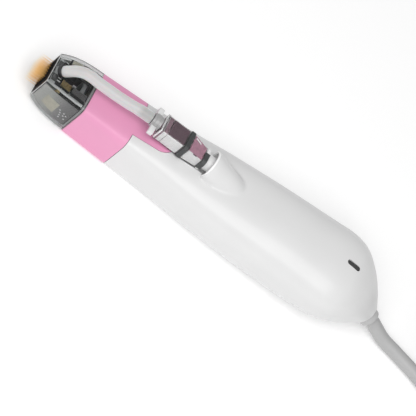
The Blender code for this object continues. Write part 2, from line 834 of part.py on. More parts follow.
def belly_cover():
    """The flat hatch in the belly, with a sunk hole for each screw."""
    cover = prism("belly_cover", cover_outline(GAP), -DROP, -DROP + WALL, "white")
    for number, (x, y) in enumerate(screw_places()):
        below = (x, y, -DROP - GAP)
        hole = rod(f"cover_hole_{number}", below, (x, y, CHASSIS_BASE), SCREW_RADIUS + GAP, sides=16)
        sunk = (x, y, -DROP + SCREW_HEAD_DEPTH + 2 * GAP)
        cut(cover, join(hole, rod(f"cover_sink_{number}", below, sunk, SCREW_HEAD_RADIUS + GAP, sides=16)))


def add_shelves(housing):
    """The two ledges inside the housing that the control board lies on."""
    for side, word in ((-1, "near"), (1, "far")):
        low = (BOARD_FRONT + SHELF_MARGIN, min(side * SHELF_INNER, side * SHELF_OUTER), BOARD_BASE - GAP - SHELF_DEPTH)
        high = (BOARD_REAR - SHELF_MARGIN, max(side * SHELF_INNER, side * SHELF_OUTER), BOARD_BASE - GAP)
        join(housing, box("shelf_" + word, low, high))


def screw_places():
    aside = COVER_HALF - SCREW_INSET
    stations = (COVER_FRONT + SCREW_INSET, COVER_REAR - SCREW_INSET)
    return [(station, side * aside) for station in stations for side in (-1, 1)]


def cover_screws():
    for number, (x, y) in enumerate(screw_places(), 1):
        head_end = SCREW_HEAD_DEPTH
        length = WALL + GAP + CHASSIS_PLATE
        profile = (
            (0, length),
            (SCREW_RADIUS, length),
            (SCREW_RADIUS, head_end),
            (SCREW_HEAD_RADIUS, head_end),
            (SCREW_HEAD_RADIUS, 0),
            (0, 0),
        )
        turned(f"cover_screw_{number}", profile, (x, y, -DROP + GAP), (0, 0, 1), "steel", sides=16)


def cartridge_ring(share, inset=0):
    """A ring of the cartridge's barrel, from its square face to the sleeve's own section."""
    width, top, bottom, squareness = handle_section(SLEEVE_FRONT)
    grown = smooth_row(FLARE_SHARES, share)[1]
    station = share * (SLEEVE_FRONT - GAP)
    return ring(
        station,
        FACE_HALF + (width - FACE_HALF) * grown - inset,
        FACE_HALF + (top - FACE_HALF) * grown - inset,
        -FACE_HALF + (bottom + FACE_HALF) * grown + inset,
        FACE_SQUARENESS + (squareness - FACE_SQUARENESS) * grown,
    )


def cartridge_shell():
    shares = [k / BARREL_SPANS for k in range(BARREL_SPANS + 1)]
    shell = loft("cartridge_shell", [cartridge_ring(share) for share in shares], "smoke")
    start = FACE_WALL / SLEEVE_FRONT
    inner = [cartridge_ring(share, CARTRIDGE_WALL) for share in [start, *shares[1:]]]
    beyond = [(SLEEVE_FRONT + GAP, y, z) for _, y, z in inner[-1]]
    half = APERTURE_HALF
    aperture = box("aperture", (-FACE_WALL, -half, -half), (2 * FACE_WALL, half, half))
    entry, lean = hose_entry()
    hole = rod("hose_hole", entry - lean * HOSE_RADIUS * 2, entry + lean * OVERRUN, HOSE_RADIUS + GAP)
    return cut(shell, loft("cartridge_hollow", [*inner, beyond]), aperture, hole)


def hose_entry():
    """Where the hose starts in the cartridge's top, and the way it leaves."""
    (x0, z0), (x1, z1) = HOSE_ROUTE[:2]
    start = Vector((x0, 0, z0))
    return start, (Vector((x1, 0, z1)) - start).normalized()


def cartridge_frame():
    """A square tube whose four sides are cut away, leaving rails at its corners."""
    half, inner = FRAME_HALF, FRAME_HALF - FRAME_WALL
    frame = box("cartridge_frame", (FRAME_FRONT, -half, -half), (FRAME_REAR, half, half), "pale")
    cut(frame, box("frame_bore", (0, -inner, -inner), (FRAME_REAR + GAP, inner, inner)))
    start = FRAME_FRONT + WINDOW_START
    end = start + WINDOW_LENGTH
    over = half + GAP
    cut(frame, box("frame_window_top", (start, -WINDOW_HALF, -over), (end, WINDOW_HALF, over)))
    return cut(frame, box("frame_window_side", (start, -over, -WINDOW_HALF), (end, over, WINDOW_HALF)))


def needle_places():
    middle = (NEEDLE_ROWS - 1) / 2
    steps = [(k - middle) * NEEDLE_PITCH for k in range(NEEDLE_ROWS)]
    return [(y, z) for z in steps for y in steps]


def joined_rods(name, places, start, spans):
    """One mesh of separate stepped rods at the places. Each span gives a length and its two radii."""
    mesh = bmesh.new()
    for y, z in places:
        x = start
        rows = []
        for length, first, last in spans:
            rows.append((x, first))
            x += length
            rows.append((x, last))
        rings = []
        for x, radius in rows:
            angles = [2 * math.pi * k / NEEDLE_SIDES for k in range(NEEDLE_SIDES)]
            rings.append([mesh.verts.new((x, y + radius * math.cos(a), z + radius * math.sin(a))) for a in angles])
        for front, back in zip(rings, rings[1:]):
            for i in range(NEEDLE_SIDES):
                j = (i + 1) % NEEDLE_SIDES
                mesh.faces.new((front[i], front[j], back[j], back[i]))
        mesh.faces.new(rings[0])
        mesh.faces.new(rings[-1])
    bmesh.ops.remove_doubles(mesh, verts=mesh.verts, dist=1e-7)
    return from_bmesh(name, mesh)


def needle_guide():
    half = FRAME_HALF - FRAME_WALL - GAP
    guide = box("needle_guide", (FRAME_FRONT, -half, -half), (FRAME_FRONT + GUIDE_DEPTH, half, half), "dark")
    length = GUIDE_DEPTH + 2 * GAP
    holes = joined_rods(
        "guide_holes", needle_places(), FRAME_FRONT - GAP, ((length, GUIDE_HOLE_RADIUS, GUIDE_HOLE_RADIUS),)
    )
    return cut(guide, holes)


def needle_array():
    half = HEADER_HALF
    header_front = HEADER_BACK - HEADER_DEPTH
    array = box("needle_array", (header_front, -half, -half), (HEADER_BACK, half, half), "gold")
    socket_front = header_front - SOCKET_LENGTH
    straight = NEEDLE_REACH - NEEDLE_TAPER + socket_front
    spans = (
        (NEEDLE_TAPER, NEEDLE_TIP_RADIUS, NEEDLE_RADIUS),
        (straight, NEEDLE_RADIUS, NEEDLE_RADIUS),
        (SOCKET_LENGTH + HEADER_DEPTH / 2, SOCKET_RADIUS, SOCKET_RADIUS),
    )
    return join(array, joined_rods("needles", needle_places(), -NEEDLE_REACH, spans))


def needle_carrier():
    half = FRAME_HALF - FRAME_WALL - GAP
    plate_back = CARRIER_FRONT + CARRIER_DEPTH
    carrier = box("needle_carrier", (CARRIER_FRONT, -half, -half), (plate_back, half, half), "dark")
    stem = along("stem", plate_back - GAP, STEM_LENGTH + 2 * GAP, STEM_RADIUS)
    flange = along("stem_flange", STEM_END - STEM_FLANGE_DEPTH, STEM_FLANGE_DEPTH, STEM_FLANGE_RADIUS)
    return join(carrier, stem, flange)


def return_spring():
    """A compression spring between the plug's front wall and the stem's flange."""
    start = PLUG_FRONT + PLUG_FRONT_WALL + GAP + SPRING_WIRE
    end = STEM_END - STEM_FLANGE_DEPTH - GAP - SPRING_WIRE
    steps = SPRING_TURNS * SPRING_POINTS
    points = []
    for k in range(steps + 1):
        angle = 2 * math.pi * k / SPRING_POINTS
        x = start + (end - start) * k / steps
        points.append((x, SPRING_RADIUS * math.cos(angle), SPRING_RADIUS * math.sin(angle)))
    print("return spring, gap between turns in mm", ((end - start) / SPRING_TURNS - 2 * SPRING_WIRE) * 1000)
    return tube("return_spring", points, SPRING_WIRE, "steel", resolution=1)


def plug_ring(station, inset=0):
    width, top, bottom, squareness = handle_section(SLEEVE_FRONT)
    back = WALL + GAP + inset
    return ring(station, width - back, top - back, bottom + back, squareness)


def cartridge_base():
    """The plug behind the barrel, with its mouth, its flange and the rails that reach forward over the frame."""
    base = loft("cartridge_base", [plug_ring(PLUG_FRONT), plug_ring(PLUG_REAR)], "dark")
    flange_front = PLUG_FRONT + FLANGE_START
    flange = loft(
        "plug_flange",
        [
            plug_ring(flange_front, FLANGE_INSET - WALL - GAP),
            plug_ring(flange_front + FLANGE_LENGTH, FLANGE_INSET - WALL - GAP),
        ],
    )
    hollow_front = PLUG_FRONT + PLUG_FRONT_WALL
    hollow_rear = PLUG_REAR - PLUG_REAR_WALL
    hollow = loft("plug_hollow", [plug_ring(hollow_front, PLUG_WALL), plug_ring(hollow_rear, PLUG_WALL)])
    mouth = along("plug_mouth", hollow_rear - GAP, PLUG_REAR_WALL + 2 * GAP, PLUG_MOUTH_RADIUS)
    stem_hole = along("stem_hole", PLUG_FRONT - GAP, PLUG_FRONT_WALL + 2 * GAP, STEM_RADIUS + GAP)
    join(base, flange)
    low = FRAME_HALF + GAP
    for side in (-1, 1):
        for k in range(2):
            middle = side * (ARM_OFFSET + ARM_PITCH * k)
            name = f"plug_arm_{side}_{k}"
            near, far = middle - ARM_WIDTH / 2, middle + ARM_WIDTH / 2
            join(base, box(name, (PLUG_FRONT - ARM_LENGTH, near, low), (PLUG_FRONT + GAP, far, low + ARM_HEIGHT)))
        recess = PLUG_REAR - PAD_DEPTH
        pocket = along(
            f"pad_pocket_{side}", recess, PAD_DEPTH + GAP, PAD_RADIUS + GAP, offset=side * PAD_OFFSET, rise=PAD_RISE
        )
        cut(base, pocket)
    return cut(base, hollow, mouth, stem_hole)


def contact_strips():
    """Ribbed gold strips over the frame's top rails, and the round pads on the plug's rear."""
    low = FRAME_HALF + GAP
    for side, word in ((-1, "left"), (1, "right")):
        start = FRAME_FRONT + STRIP_START
        near, far = sorted((side * STRIP_OFFSET, side * (STRIP_OFFSET + STRIP_WIDTH)))
        base_height = STRIP_HEIGHT / 2
        strip = box(
            f"contact_strip_{word}", (start, near, low), (start + STRIP_LENGTH, far, low + base_height), "gold"
        )
        pitch = (far - near) / STRIP_RIBS
        for k in range(STRIP_RIBS):
            rib_near = near + pitch * (k + STRIP_RIB_SHARE / 2)
            rib_far = rib_near + pitch * STRIP_RIB_SHARE
            rib_low = (start, rib_near, low + base_height / 2)
            rib_high = (start + STRIP_LENGTH, rib_far, low + STRIP_HEIGHT)
            join(strip, box(f"strip_rib_{word}_{k}", rib_low, rib_high))
        along(
            f"contact_pad_{word}",
            PLUG_REAR - PAD_DEPTH + GAP,
            PAD_DEPTH,
            PAD_RADIUS,
            "gold",
            offset=side * PAD_OFFSET,
            rise=PAD_RISE,
            sides=16,
        )


def port_nipple():
    entry, lean = hose_entry()
    low = FRAME_HALF + GAP
    foot = entry - lean * ((entry.z - low) / lean.z)
    half = NIPPLE_BASE_HALF
    front = max(foot.x - half, FRAME_FRONT)
    base = box(
        "port_nipple", (front, -half, low), (front + 2 * half, half, low + NIPPLE_BASE_HEIGHT), "pale"
    )
    return join(base, rod("nipple_spigot", foot + lean * NIPPLE_BASE_HEIGHT, foot + lean * NIPPLE_LENGTH, NIPPLE_RADIUS))


def swept_rings(points, radius, sides):
    """Rings of a tube along points that all lie in the plane y = 0, square to the way that it runs."""
    places = [Vector((x, 0, z)) for x, z in points]
    rings = []
    for i, place in enumerate(places):
        way = (places[min(i + 1, len(places) - 1)] - places[max(i - 1, 0)]).normalized()
        up = Vector((-way.z, 0, way.x))
        angles = [2 * math.pi * k / sides for k in range(sides)]
        side = Vector((0, 1, 0))
        rings.append([place + (side * math.cos(a) + up * math.sin(a)) * radius for a in angles])
    return rings


def suction_hose():
    """The hose, with its bore, from the cartridge's top to the connector."""
    route = [*HOSE_ROUTE, (CONNECTOR_FRONT - GAP, FILTER_RISE)]
    line = curve_through(route, HOSE_STEPS)
    hose = loft("suction_hose", swept_rings(line, HOSE_RADIUS, HOSE_SIDES), "rubber")
    (x0, z0), (x1, z1) = line[:2]
    (x2, z2), (x3, z3) = line[-2:]
    first = (2 * x0 - x1, 2 * z0 - z1)
    last = (2 * x3 - x2, 2 * z3 - z2)
    bore = loft("hose_bore", swept_rings([first, *line, last], HOSE_BORE, HOSE_SIDES // 2))
    return cut(hose, bore)


def hose_connector():
    rise = FILTER_RISE
    hub = along("hose_connector", CONNECTOR_FRONT, CONNECTOR_LENGTH, CONNECTOR_RADIUS, "white", rise=rise)
    spigot = along(
        "connector_spigot",
        CONNECTOR_FRONT - CONNECTOR_SPIGOT_LENGTH,
        CONNECTOR_SPIGOT_LENGTH + GAP,
        CONNECTOR_SPIGOT_RADIUS,
        rise=rise,
    )
    start = CONNECTOR_FRONT + WING_DEPTH / 2
    half = WING_HEIGHT / 2
    wings = box(
        "connector_wings", (start, -WING_SPAN, rise - half), (start + WING_DEPTH, WING_SPAN, rise + half)
    )
    return join(hub, spigot, wings)


def filter_set():
    """The clear housings, their black bands, the membrane and the nozzle."""
    rise = FILTER_RISE
    front = loft(
        "filter_body_front",
        [
            octagon(FILTER_FRONT, FILTER_HALF - FILTER_WALL / 2, rise),
            octagon(FILTER_FRONT + FILTER_WALL, FILTER_HALF, rise),
            octagon(BAND_FRONT - GAP, FILTER_HALF, rise),
        ],
        "clear",
    )
    inner = FILTER_HALF - FILTER_WALL
    room = loft(
        "filter_front_room", [octagon(FILTER_FRONT + FILTER_WALL, inner, rise), octagon(BAND_FRONT, inner, rise)]
    )
    cut(front, room)

    band = loft(
        "filter_band",
        [octagon(BAND_FRONT, FILTER_BAND_HALF, rise), octagon(BAND_FRONT + FILTER_BAND_LENGTH, FILTER_BAND_HALF, rise)],
        "dark",
    )
    cut(band, along("band_bore", BAND_FRONT - GAP, FILTER_BAND_LENGTH + 2 * GAP, inner, rise=rise))
    middle = BAND_FRONT + (FILTER_BAND_LENGTH - MEMBRANE_DEPTH) / 2
    along("filter_membrane", middle, MEMBRANE_DEPTH, inner - GAP, "white", rise=rise)

    taper = loft(
        "filter_body_rear",
        [octagon(TAPER_FRONT, FILTER_HALF, rise), octagon(TAPER_FRONT + TAPER_LENGTH, TAPER_END_HALF, NOZZLE_RISE)],
        "clear",
    )
    taper_room = loft(
        "filter_rear_room",
        [
            octagon(TAPER_FRONT - GAP, inner, rise),
            octagon(TAPER_FRONT + TAPER_LENGTH - FILTER_WALL, TAPER_END_HALF - FILTER_WALL, NOZZLE_RISE),
        ],
    )
    outlet = along("taper_outlet", TAPER_FRONT, TAPER_LENGTH + GAP, NOZZLE_BORE, rise=NOZZLE_RISE, sides=12)
    cut(taper, taper_room, outlet)

    small = loft(
        "nozzle_band",
        [
            octagon(NOZZLE_BAND_FRONT, NOZZLE_BAND_HALF, NOZZLE_RISE),
            octagon(NOZZLE_BAND_FRONT + NOZZLE_BAND_LENGTH, NOZZLE_BAND_HALF, NOZZLE_RISE),
        ],
        "dark",
    )
    through = along(
        "small_band_bore", NOZZLE_BAND_FRONT - GAP, NOZZLE_BAND_LENGTH + 2 * GAP, NOZZLE_BORE, rise=NOZZLE_RISE, sides=12
    )
    cut(small, through)

    nozzle = along("filter_nozzle", NOZZLE_FRONT, NOZZLE_LENGTH, NOZZLE_RADIUS, "clear", rise=NOZZLE_RISE, sides=32)
    cut(nozzle, along("nozzle_bore", NOZZLE_FRONT - GAP, NOZZLE_LENGTH + 2 * GAP, NOZZLE_BORE, rise=NOZZLE_RISE, sides=12))


def handle_inside():
    """Bulkhead, contacts, chassis, rods and motor."""
    section = [handle_ring(x, WALL + GAP) for x in (BULKHEAD_STATION, BULKHEAD_STATION + BULKHEAD_DEPTH)]
    bulkhead = loft("nose_bulkhead", section, "dark")
    cut(bulkhead, along("rod_hole", BULKHEAD_STATION - GAP, BULKHEAD_DEPTH + 2 * GAP, PUSH_ROD_RADIUS + GAP))
    block_front = BULKHEAD_STATION + BULKHEAD_DEPTH + GAP
    low = PAD_RISE - CONTACT_BLOCK_HEIGHT / 2
    half = CONTACT_BLOCK_HALF
    block_back = block_front + CONTACT_BLOCK_LENGTH
    block = box(
        "contact_block", (block_front, -half, low), (block_back, half, low + CONTACT_BLOCK_HEIGHT), "dark"
    )
    pin_front = PLUG_REAR + 2 * GAP
    pin_back = block_back + GAP
    for side, word in ((-1, "left"), (1, "right")):
        place = {"offset": side * PAD_OFFSET, "rise": PAD_RISE, "sides": 12}
        for piece, start, reach in ((bulkhead, BULKHEAD_STATION, BULKHEAD_DEPTH), (block, block_front, CONTACT_BLOCK_LENGTH)):
            hole = f"{piece.name}_hole_{word}"
            cut(piece, along(hole, start - GAP, reach + 2 * GAP, PIN_RADIUS + GAP, **place))
        profile = (
            (0, pin_back + PIN_HEAD_DEPTH - pin_front),
            (PIN_HEAD_RADIUS, pin_back + PIN_HEAD_DEPTH - pin_front),
            (PIN_HEAD_RADIUS, pin_back - pin_front),
            (PIN_RADIUS, pin_back - pin_front),
            (PIN_RADIUS, 0),
            (0, 0),
        )
        start = (pin_front, side * PAD_OFFSET, PAD_RISE)
        turned(f"contact_pin_{word}", profile, start, (1, 0, 0), "gold", sides=12)
    chassis()
    for side, word in ((-1, "left"), (1, "right")):
        along(
            f"guide_rod_{word}",
            FRONT_UPRIGHT,
            REAR_UPRIGHT + UPRIGHT_DEPTH - FRONT_UPRIGHT,
            ROD_RADIUS,
            "steel",
            offset=side * ROD_OFFSET,
            sides=16,
        )
    drive_motor()


def chassis():
    half = CHASSIS_HALF
    plate_top = CHASSIS_BASE + CHASSIS_PLATE
    low = (CHASSIS_FRONT, -CHASSIS_PLATE_HALF, CHASSIS_BASE)
    frame = box("chassis", low, (CHASSIS_REAR, CHASSIS_PLATE_HALF, plate_top), "pale")
    for name, station, top in (
        ("front_upright", FRONT_UPRIGHT, FRONT_UPRIGHT_TOP),
        ("rear_upright", REAR_UPRIGHT, REAR_UPRIGHT_TOP),
    ):
        join(frame, box(name, (station, -half, plate_top - GAP), (station + UPRIGHT_DEPTH, half, top)))
    reach = UPRIGHT_DEPTH + 2 * GAP
    cut(frame, along("front_hole", FRONT_UPRIGHT - GAP, reach, PUSH_ROD_RADIUS + GAP))
    cut(frame, along("rear_hole", REAR_UPRIGHT - GAP, reach, SHAFT_RADIUS + LEAD_RADIUS))
    for side in (-1, 1):
        for name, station in (("front", FRONT_UPRIGHT), ("rear", REAR_UPRIGHT)):
            hole = f"{name}_rod_hole_{side}"
            cut(frame, along(hole, station - GAP, reach, ROD_RADIUS + GAP, offset=side * ROD_OFFSET, sides=16))
    for number, (x, y) in enumerate(screw_places()):
        low, high = CHASSIS_BASE - GAP, plate_top + GAP
        cut(frame, rod(f"chassis_hole_{number}", (x, y, low), (x, y, high), SCREW_RADIUS + GAP, sides=16))
    return frame


def drive_motor():
    half = MOTOR_FLANGE_HALF
    flange_back = MOTOR_STATION + MOTOR_FLANGE_DEPTH
    motor = box("drive_motor", (MOTOR_STATION, -half, -half), (flange_back, half, half), "dark")
    join(motor, along("motor_can", flange_back - GAP, MOTOR_LENGTH + GAP, MOTOR_RADIUS, sides=28))
    cut(motor, along("motor_bore", MOTOR_STATION - GAP, SHAFT_REACH + 2 * GAP, SHAFT_RADIUS + GAP, sides=16))
    can_back = flange_back + MOTOR_LENGTH
    join(motor, along("motor_encoder", can_back - GAP, ENCODER_LENGTH + GAP, ENCODER_RADIUS))


def drive_train():
    """The lead screw and its coupling, which turn, and the nut and push rod, which slide."""
    thread_end = COUPLING_STATION
    end = MOTOR_STATION + SHAFT_REACH
    reach = thread_end - SCREW_FRONT
    turns = int(reach / LEAD_THREAD_PITCH)
    shoulder = reach + COUPLING_LENGTH
    profile = [(0, end - SCREW_FRONT), (SHAFT_RADIUS, end - SCREW_FRONT), (SHAFT_RADIUS, shoulder)]
    profile.append((LEAD_RADIUS, shoulder))
    pitch = reach / turns
    for k in range(turns, 0, -1):
        profile += [(LEAD_RADIUS, pitch * k), (LEAD_RADIUS - LEAD_THREAD_DEPTH, pitch * (k - 0.5))]
    profile += [(LEAD_RADIUS, 0), (0, 0)]
    turned("lead_screw", profile, (SCREW_FRONT, 0, 0), (1, 0, 0), "steel", sides=12)

    coupling = along("screw_coupling", COUPLING_STATION, COUPLING_LENGTH, COUPLING_RADIUS, "steel")
    bore = along("coupling_bore", COUPLING_STATION - GAP, COUPLING_LENGTH + 2 * GAP, LEAD_RADIUS + GAP, sides=16)
    cut(coupling, bore)

    rod_back = NUT_STATION - GAP
    push_rod = along("push_rod", PUSH_ROD_FRONT, rod_back - PUSH_ROD_FRONT, PUSH_ROD_RADIUS, "steel")
    bore_front = PUSH_ROD_FRONT + PUSH_ROD_TIP
    cut(push_rod, along("push_rod_bore", bore_front, rod_back - bore_front + GAP, PUSH_ROD_BORE, sides=20))

    wide, tall = CHASSIS_HALF - 2 * GAP, NUT_HALF_HEIGHT
    nut = box("drive_nut", (NUT_STATION, -wide, -tall), (NUT_STATION + NUT_LENGTH, wide, tall), "white")
    reach = NUT_LENGTH + 2 * GAP
    cut(nut, along("nut_thread", NUT_STATION - GAP, reach, LEAD_RADIUS + GAP, sides=16))
    for side in (-1, 1):
        cut(nut, along(f"nut_slide_{side}", NUT_STATION - GAP, reach, ROD_RADIUS + GAP, offset=side * ROD_OFFSET, sides=16))


def electronics():
    half = BOARD_HALF
    board = box("control_board", (BOARD_FRONT, -half, BOARD_BASE), (BOARD_REAR, half, BOARD_TOP), "board")
    low = BOARD_TOP + GAP
    near, far = TRANSFORMER_OFFSET - TRANSFORMER_HALF, TRANSFORMER_OFFSET + TRANSFORMER_HALF
    board_length = BOARD_REAR - BOARD_FRONT
    start = BOARD_FRONT + TRANSFORMER_START_SHARE * board_length
    end = start + TRANSFORMER_LENGTH_SHARE * board_length
    box("transformer", (start, near, low), (end, far, low + TRANSFORMER_HEIGHT), "dark")
    half = LED_SIZE / 2
    led_top = BOARD_TOP + LED_HEIGHT
    led_low = BOARD_TOP - BOARD_THICKNESS / 2
    join(board, box("status_led", (LENS_STATION - half, -half, led_low), (LENS_STATION + half, half, led_top)))
    surface = handle_section(LENS_STATION)[1]
    lens_top = surface - LENS_SINK
    outline = capsule_outline(LENS_STATION, LENS_LENGTH, LENS_WIDTH)
    prism("status_lens", outline, lens_top - LENS_DEPTH, lens_top, "dark")
    pipe = capsule_outline(LENS_STATION, LIGHT_PIPE_LENGTH, LIGHT_PIPE_WIDTH)
    prism("light_pipe", pipe, led_top + GAP, lens_top - LENS_DEPTH - GAP, "clear")


def wires():
    """Leads that stay inside the handle, each a tube along a smooth route."""
    pin_end = BULKHEAD_STATION + BULKHEAD_DEPTH + GAP + CONTACT_BLOCK_LENGTH + GAP + PIN_HEAD_DEPTH
    board_edge = BOARD_FRONT - GAP
    board_middle = BOARD_BASE + BOARD_THICKNESS / 2
    side_lane = CHASSIS_HALF + WIRE_RADIUS + GAP
    for side, word in ((-1, "left"), (1, "right")):
        route = (
            (pin_end + GAP, side * PAD_OFFSET, PAD_RISE),
            (pin_end + GAP + 2 * WIRE_RADIUS, side * PAD_OFFSET, PAD_RISE),
            (FRONT_UPRIGHT, side * side_lane, PAD_RISE),
            (NUT_STATION, side * side_lane, PAD_RISE),
            (MOTOR_STATION, side * side_lane, PAD_RISE),
            (board_edge - WALL, side * side_lane, board_middle),
            (board_edge, side * side_lane, board_middle),
        )
        tube(f"rf_lead_{word}", straight_ended(route, WIRE_STEPS * 2), WIRE_RADIUS, "pink", resolution=1)
    motor_end = MOTOR_STATION + MOTOR_FLANGE_DEPTH + MOTOR_LENGTH + ENCODER_LENGTH
    route = (
        (motor_end + GAP, 0, 0),
        (motor_end + WALL, 0, 0),
        (board_edge - 2 * WALL, 0, board_middle / 2),
        (board_edge - WALL, 0, board_middle),
        (board_edge, 0, board_middle),
    )
    tube("motor_lead", straight_ended(route, WIRE_STEPS), WIRE_RADIUS, "dark", resolution=1)
    core_end = core_front() - GLAND_AXIS * GAP
    route = (
        tuple(core_end),
        tuple(core_end - GLAND_AXIS * LOOM_RADIUS),
        (BOARD_REAR + GAP + LOOM_RADIUS, 0, board_middle),
        (BOARD_REAR + GAP, 0, board_middle),
    )
    tube("wire_loom", straight_ended(route, WIRE_STEPS // 2), LOOM_RADIUS, "dark", resolution=1)


def core_front():
    """The inner end of the cord's sheath."""
    return GLAND_SEAT - GLAND_AXIS * (GLAND_NECK_LENGTH + GAP + CORE_LENGTH)


def vacuum_line():
    top = ELBOW_BASE + ELBOW_HEIGHT
    half = ELBOW_HALF
    back = ELBOW_STATION + ELBOW_LENGTH
    elbow = box("port_elbow", (ELBOW_STATION, -half, ELBOW_BASE), (back, half, top), "pale")
    rise = VACUUM_PLACES[0][1]
    join(elbow, along("elbow_spigot", back - GAP, ELBOW_SPIGOT_LENGTH, ELBOW_SPIGOT_RADIUS, rise=rise, sides=12))
    start, end = back + GAP, LENGTH - VACUUM_SETBACK
    spots = zip(VACUUM_SPOT_SHARES, VACUUM_PLACES)
    route = [(start + (end - start) * share, aside, height) for share, (aside, height) in spots]
    line = curve_through(route, WIRE_STEPS)
    first, second = Vector(line[0]), Vector(line[1])
    pipe = meshed(tube("vacuum_tube_outside", line, VACUUM_RADIUS, parent=None), "vacuum_tube", "clear")
    ahead = [tuple(2 * first - second), *line, tuple(2 * Vector(line[-1]) - Vector(line[-2]))]
    cut(pipe, meshed(tube("vacuum_tube_inside", ahead, VACUUM_BORE, parent=None), "vacuum_bore"))


def seal_ring():
    """The ring seal in the hood's bore, clear of the nozzle that slides through it."""
    front = HOOD_FRONT + HOOD_MOUTH_DEPTH
    middle = (front + NOZZLE_FRONT + NOZZLE_LENGTH) / 2
    inner, outer = NOZZLE_RADIUS + GAP / 2, HOOD_BORE_RADIUS - GAP / 2
    half = SEAL_WIRE / 2
    profile = ((outer, half), (outer, -half), (inner, -half), (inner, half))
    turned("nozzle_seal", profile, (middle, 0, NOZZLE_RISE), (1, 0, 0), "rubber", sides=32)


def gland():
    """The collar that the cord leaves by, rounded at its outer end, with a neck through the wall."""
    start = GLAND_SEAT + GLAND_AXIS * GAP
    straight = GLAND_LENGTH - GLAND_ROUND
    arc = []
    for k in range(5):
        angle = math.pi / 2 * k / 4
        radius = GLAND_RADIUS - GLAND_ROUND / 2 + GLAND_ROUND / 2 * math.sin(angle)
        arc.append((radius, straight + GLAND_ROUND * math.cos(angle)))
    profile = [
        (0, GLAND_LENGTH),
        *arc,
        (GLAND_RADIUS, 0),
        (GLAND_NECK_RADIUS, 0),
        (GLAND_NECK_RADIUS, -GAP - GLAND_NECK_LENGTH),
        (0, -GAP - GLAND_NECK_LENGTH),
    ]
    turned("cord_gland", profile, start, GLAND_AXIS, "rubber", sides=28)
    core_back = GLAND_SEAT - GLAND_AXIS * (GLAND_NECK_LENGTH + GAP)
    rod("cord_core", core_front(), core_back, CORD_RADIUS, "dark", sides=16)
    clamp_front = core_back - GLAND_AXIS * (CLAMP_SETBACK + CLAMP_LENGTH)
    profile = (
        (CLAMP_RADIUS, CLAMP_LENGTH),
        (CLAMP_RADIUS, 0),
        (CORD_RADIUS + GAP, 0),
        (CORD_RADIUS + GAP, CLAMP_LENGTH),
    )
    turned("cord_clamp", profile, clamp_front, GLAND_AXIS, "steel", sides=20)


def hank_place(turn):
    """A place on the hank after that many loops. The loops go in and out by turns, each time a layer higher."""
    nearest = round(turn)
    since = turn - nearest
    half = HANK_CLIMB / 2
    if nearest == 0:
        spread = since
    elif abs(since) < half:
        spread = (since**2 + half**2) / (2 * half)
    else:
        spread = abs(since)
    depth = 1 - spread if nearest % 2 else spread
    radius = HANK_OUTER - HANK_STEP * depth
    climb = min(max((since + half) / HANK_CLIMB, 0), 1)
    layer = max(nearest - 1 + climb * climb * (3 - 2 * climb), 0)
    phase = (turn + 0.5) % 1 - 0.5
    if RUN_SHARE / 2 < abs(phase) < 0.5 - RUN_SHARE / 2:
        angle = math.pi * ((abs(phase) - RUN_SHARE / 2) / (0.5 - RUN_SHARE) - 0.5)
        reach = math.copysign(HANK_RUN / 2 + radius * math.cos(angle), phase)
        aside = radius * math.sin(angle)
    else:
        near = abs(phase) <= RUN_SHARE / 2
        reach = HANK_RUN / RUN_SHARE * (phase if near else math.copysign(0.5, phase) - phase)
        waist = HANK_DRAW * math.cos(math.pi * reach / HANK_RUN) ** 2
        aside = (waist - radius) if near else (radius - waist)
    x = CORD_EXIT.x + HANK_BEHIND + reach
    return Vector((x, HANK_ASIDE + aside, HANK_BASE + CORD_RADIUS + HANK_RISE * layer))


def hank_points():
    """The hank's places, with a short straight at each end."""
    turns = np.linspace(HANK_START_TURN, HANK_END_TURN, round((HANK_END_TURN - HANK_START_TURN) * HANK_STEPS) + 1)
    line = [hank_place(float(turn)) for turn in turns]
    last = (line[-1] - line[-2]).normalized()
    return [line[0] - Vector((HANK_STRAIGHT, 0, 0)), *line, line[-1] + last * HANK_STRAIGHT]


def least_gap(points):
    """The least distance between stretches of the hank that lie more than half a loop apart."""
    places = np.array(points)
    least = HANK_RUN
    for i in range(len(places)):
        later = places[i + HANK_STEPS // 2 :]
        if len(later):
            least = min(least, float(np.linalg.norm(later - places[i], axis=1).min()))
    return least - 2 * CORD_RADIUS


def cord():
    points = hank_points()
    print("hank, least gap to itself in mm", least_gap(points) * 1000)
    way = (points[1] - points[0]).normalized()
    join_at = points[0] - way * GAP
    route = [
        tuple(CORD_EXIT),
        tuple(CORD_EXIT + GLAND_AXIS * CORD_RADIUS),
        *[(CORD_EXIT.x + behind, aside, height) for behind, aside, height in LEAD_ROUTE],
        tuple(join_at - way * CORD_RADIUS),
        tuple(join_at),
    ]
    lead = straight_ended(route, LEAD_POINTS)
    tube("cord_lead", lead, CORD_RADIUS, "rubber", parent=None)
    tube("cord_hank", points, CORD_RADIUS, "rubber", parent=None, resolution=1)
    print("cord, lead and hank in m", line_length(lead) + line_length(points))
    return points


def line_length(points):
    return float(np.linalg.norm(np.diff(np.array(points), axis=0), axis=1).sum())


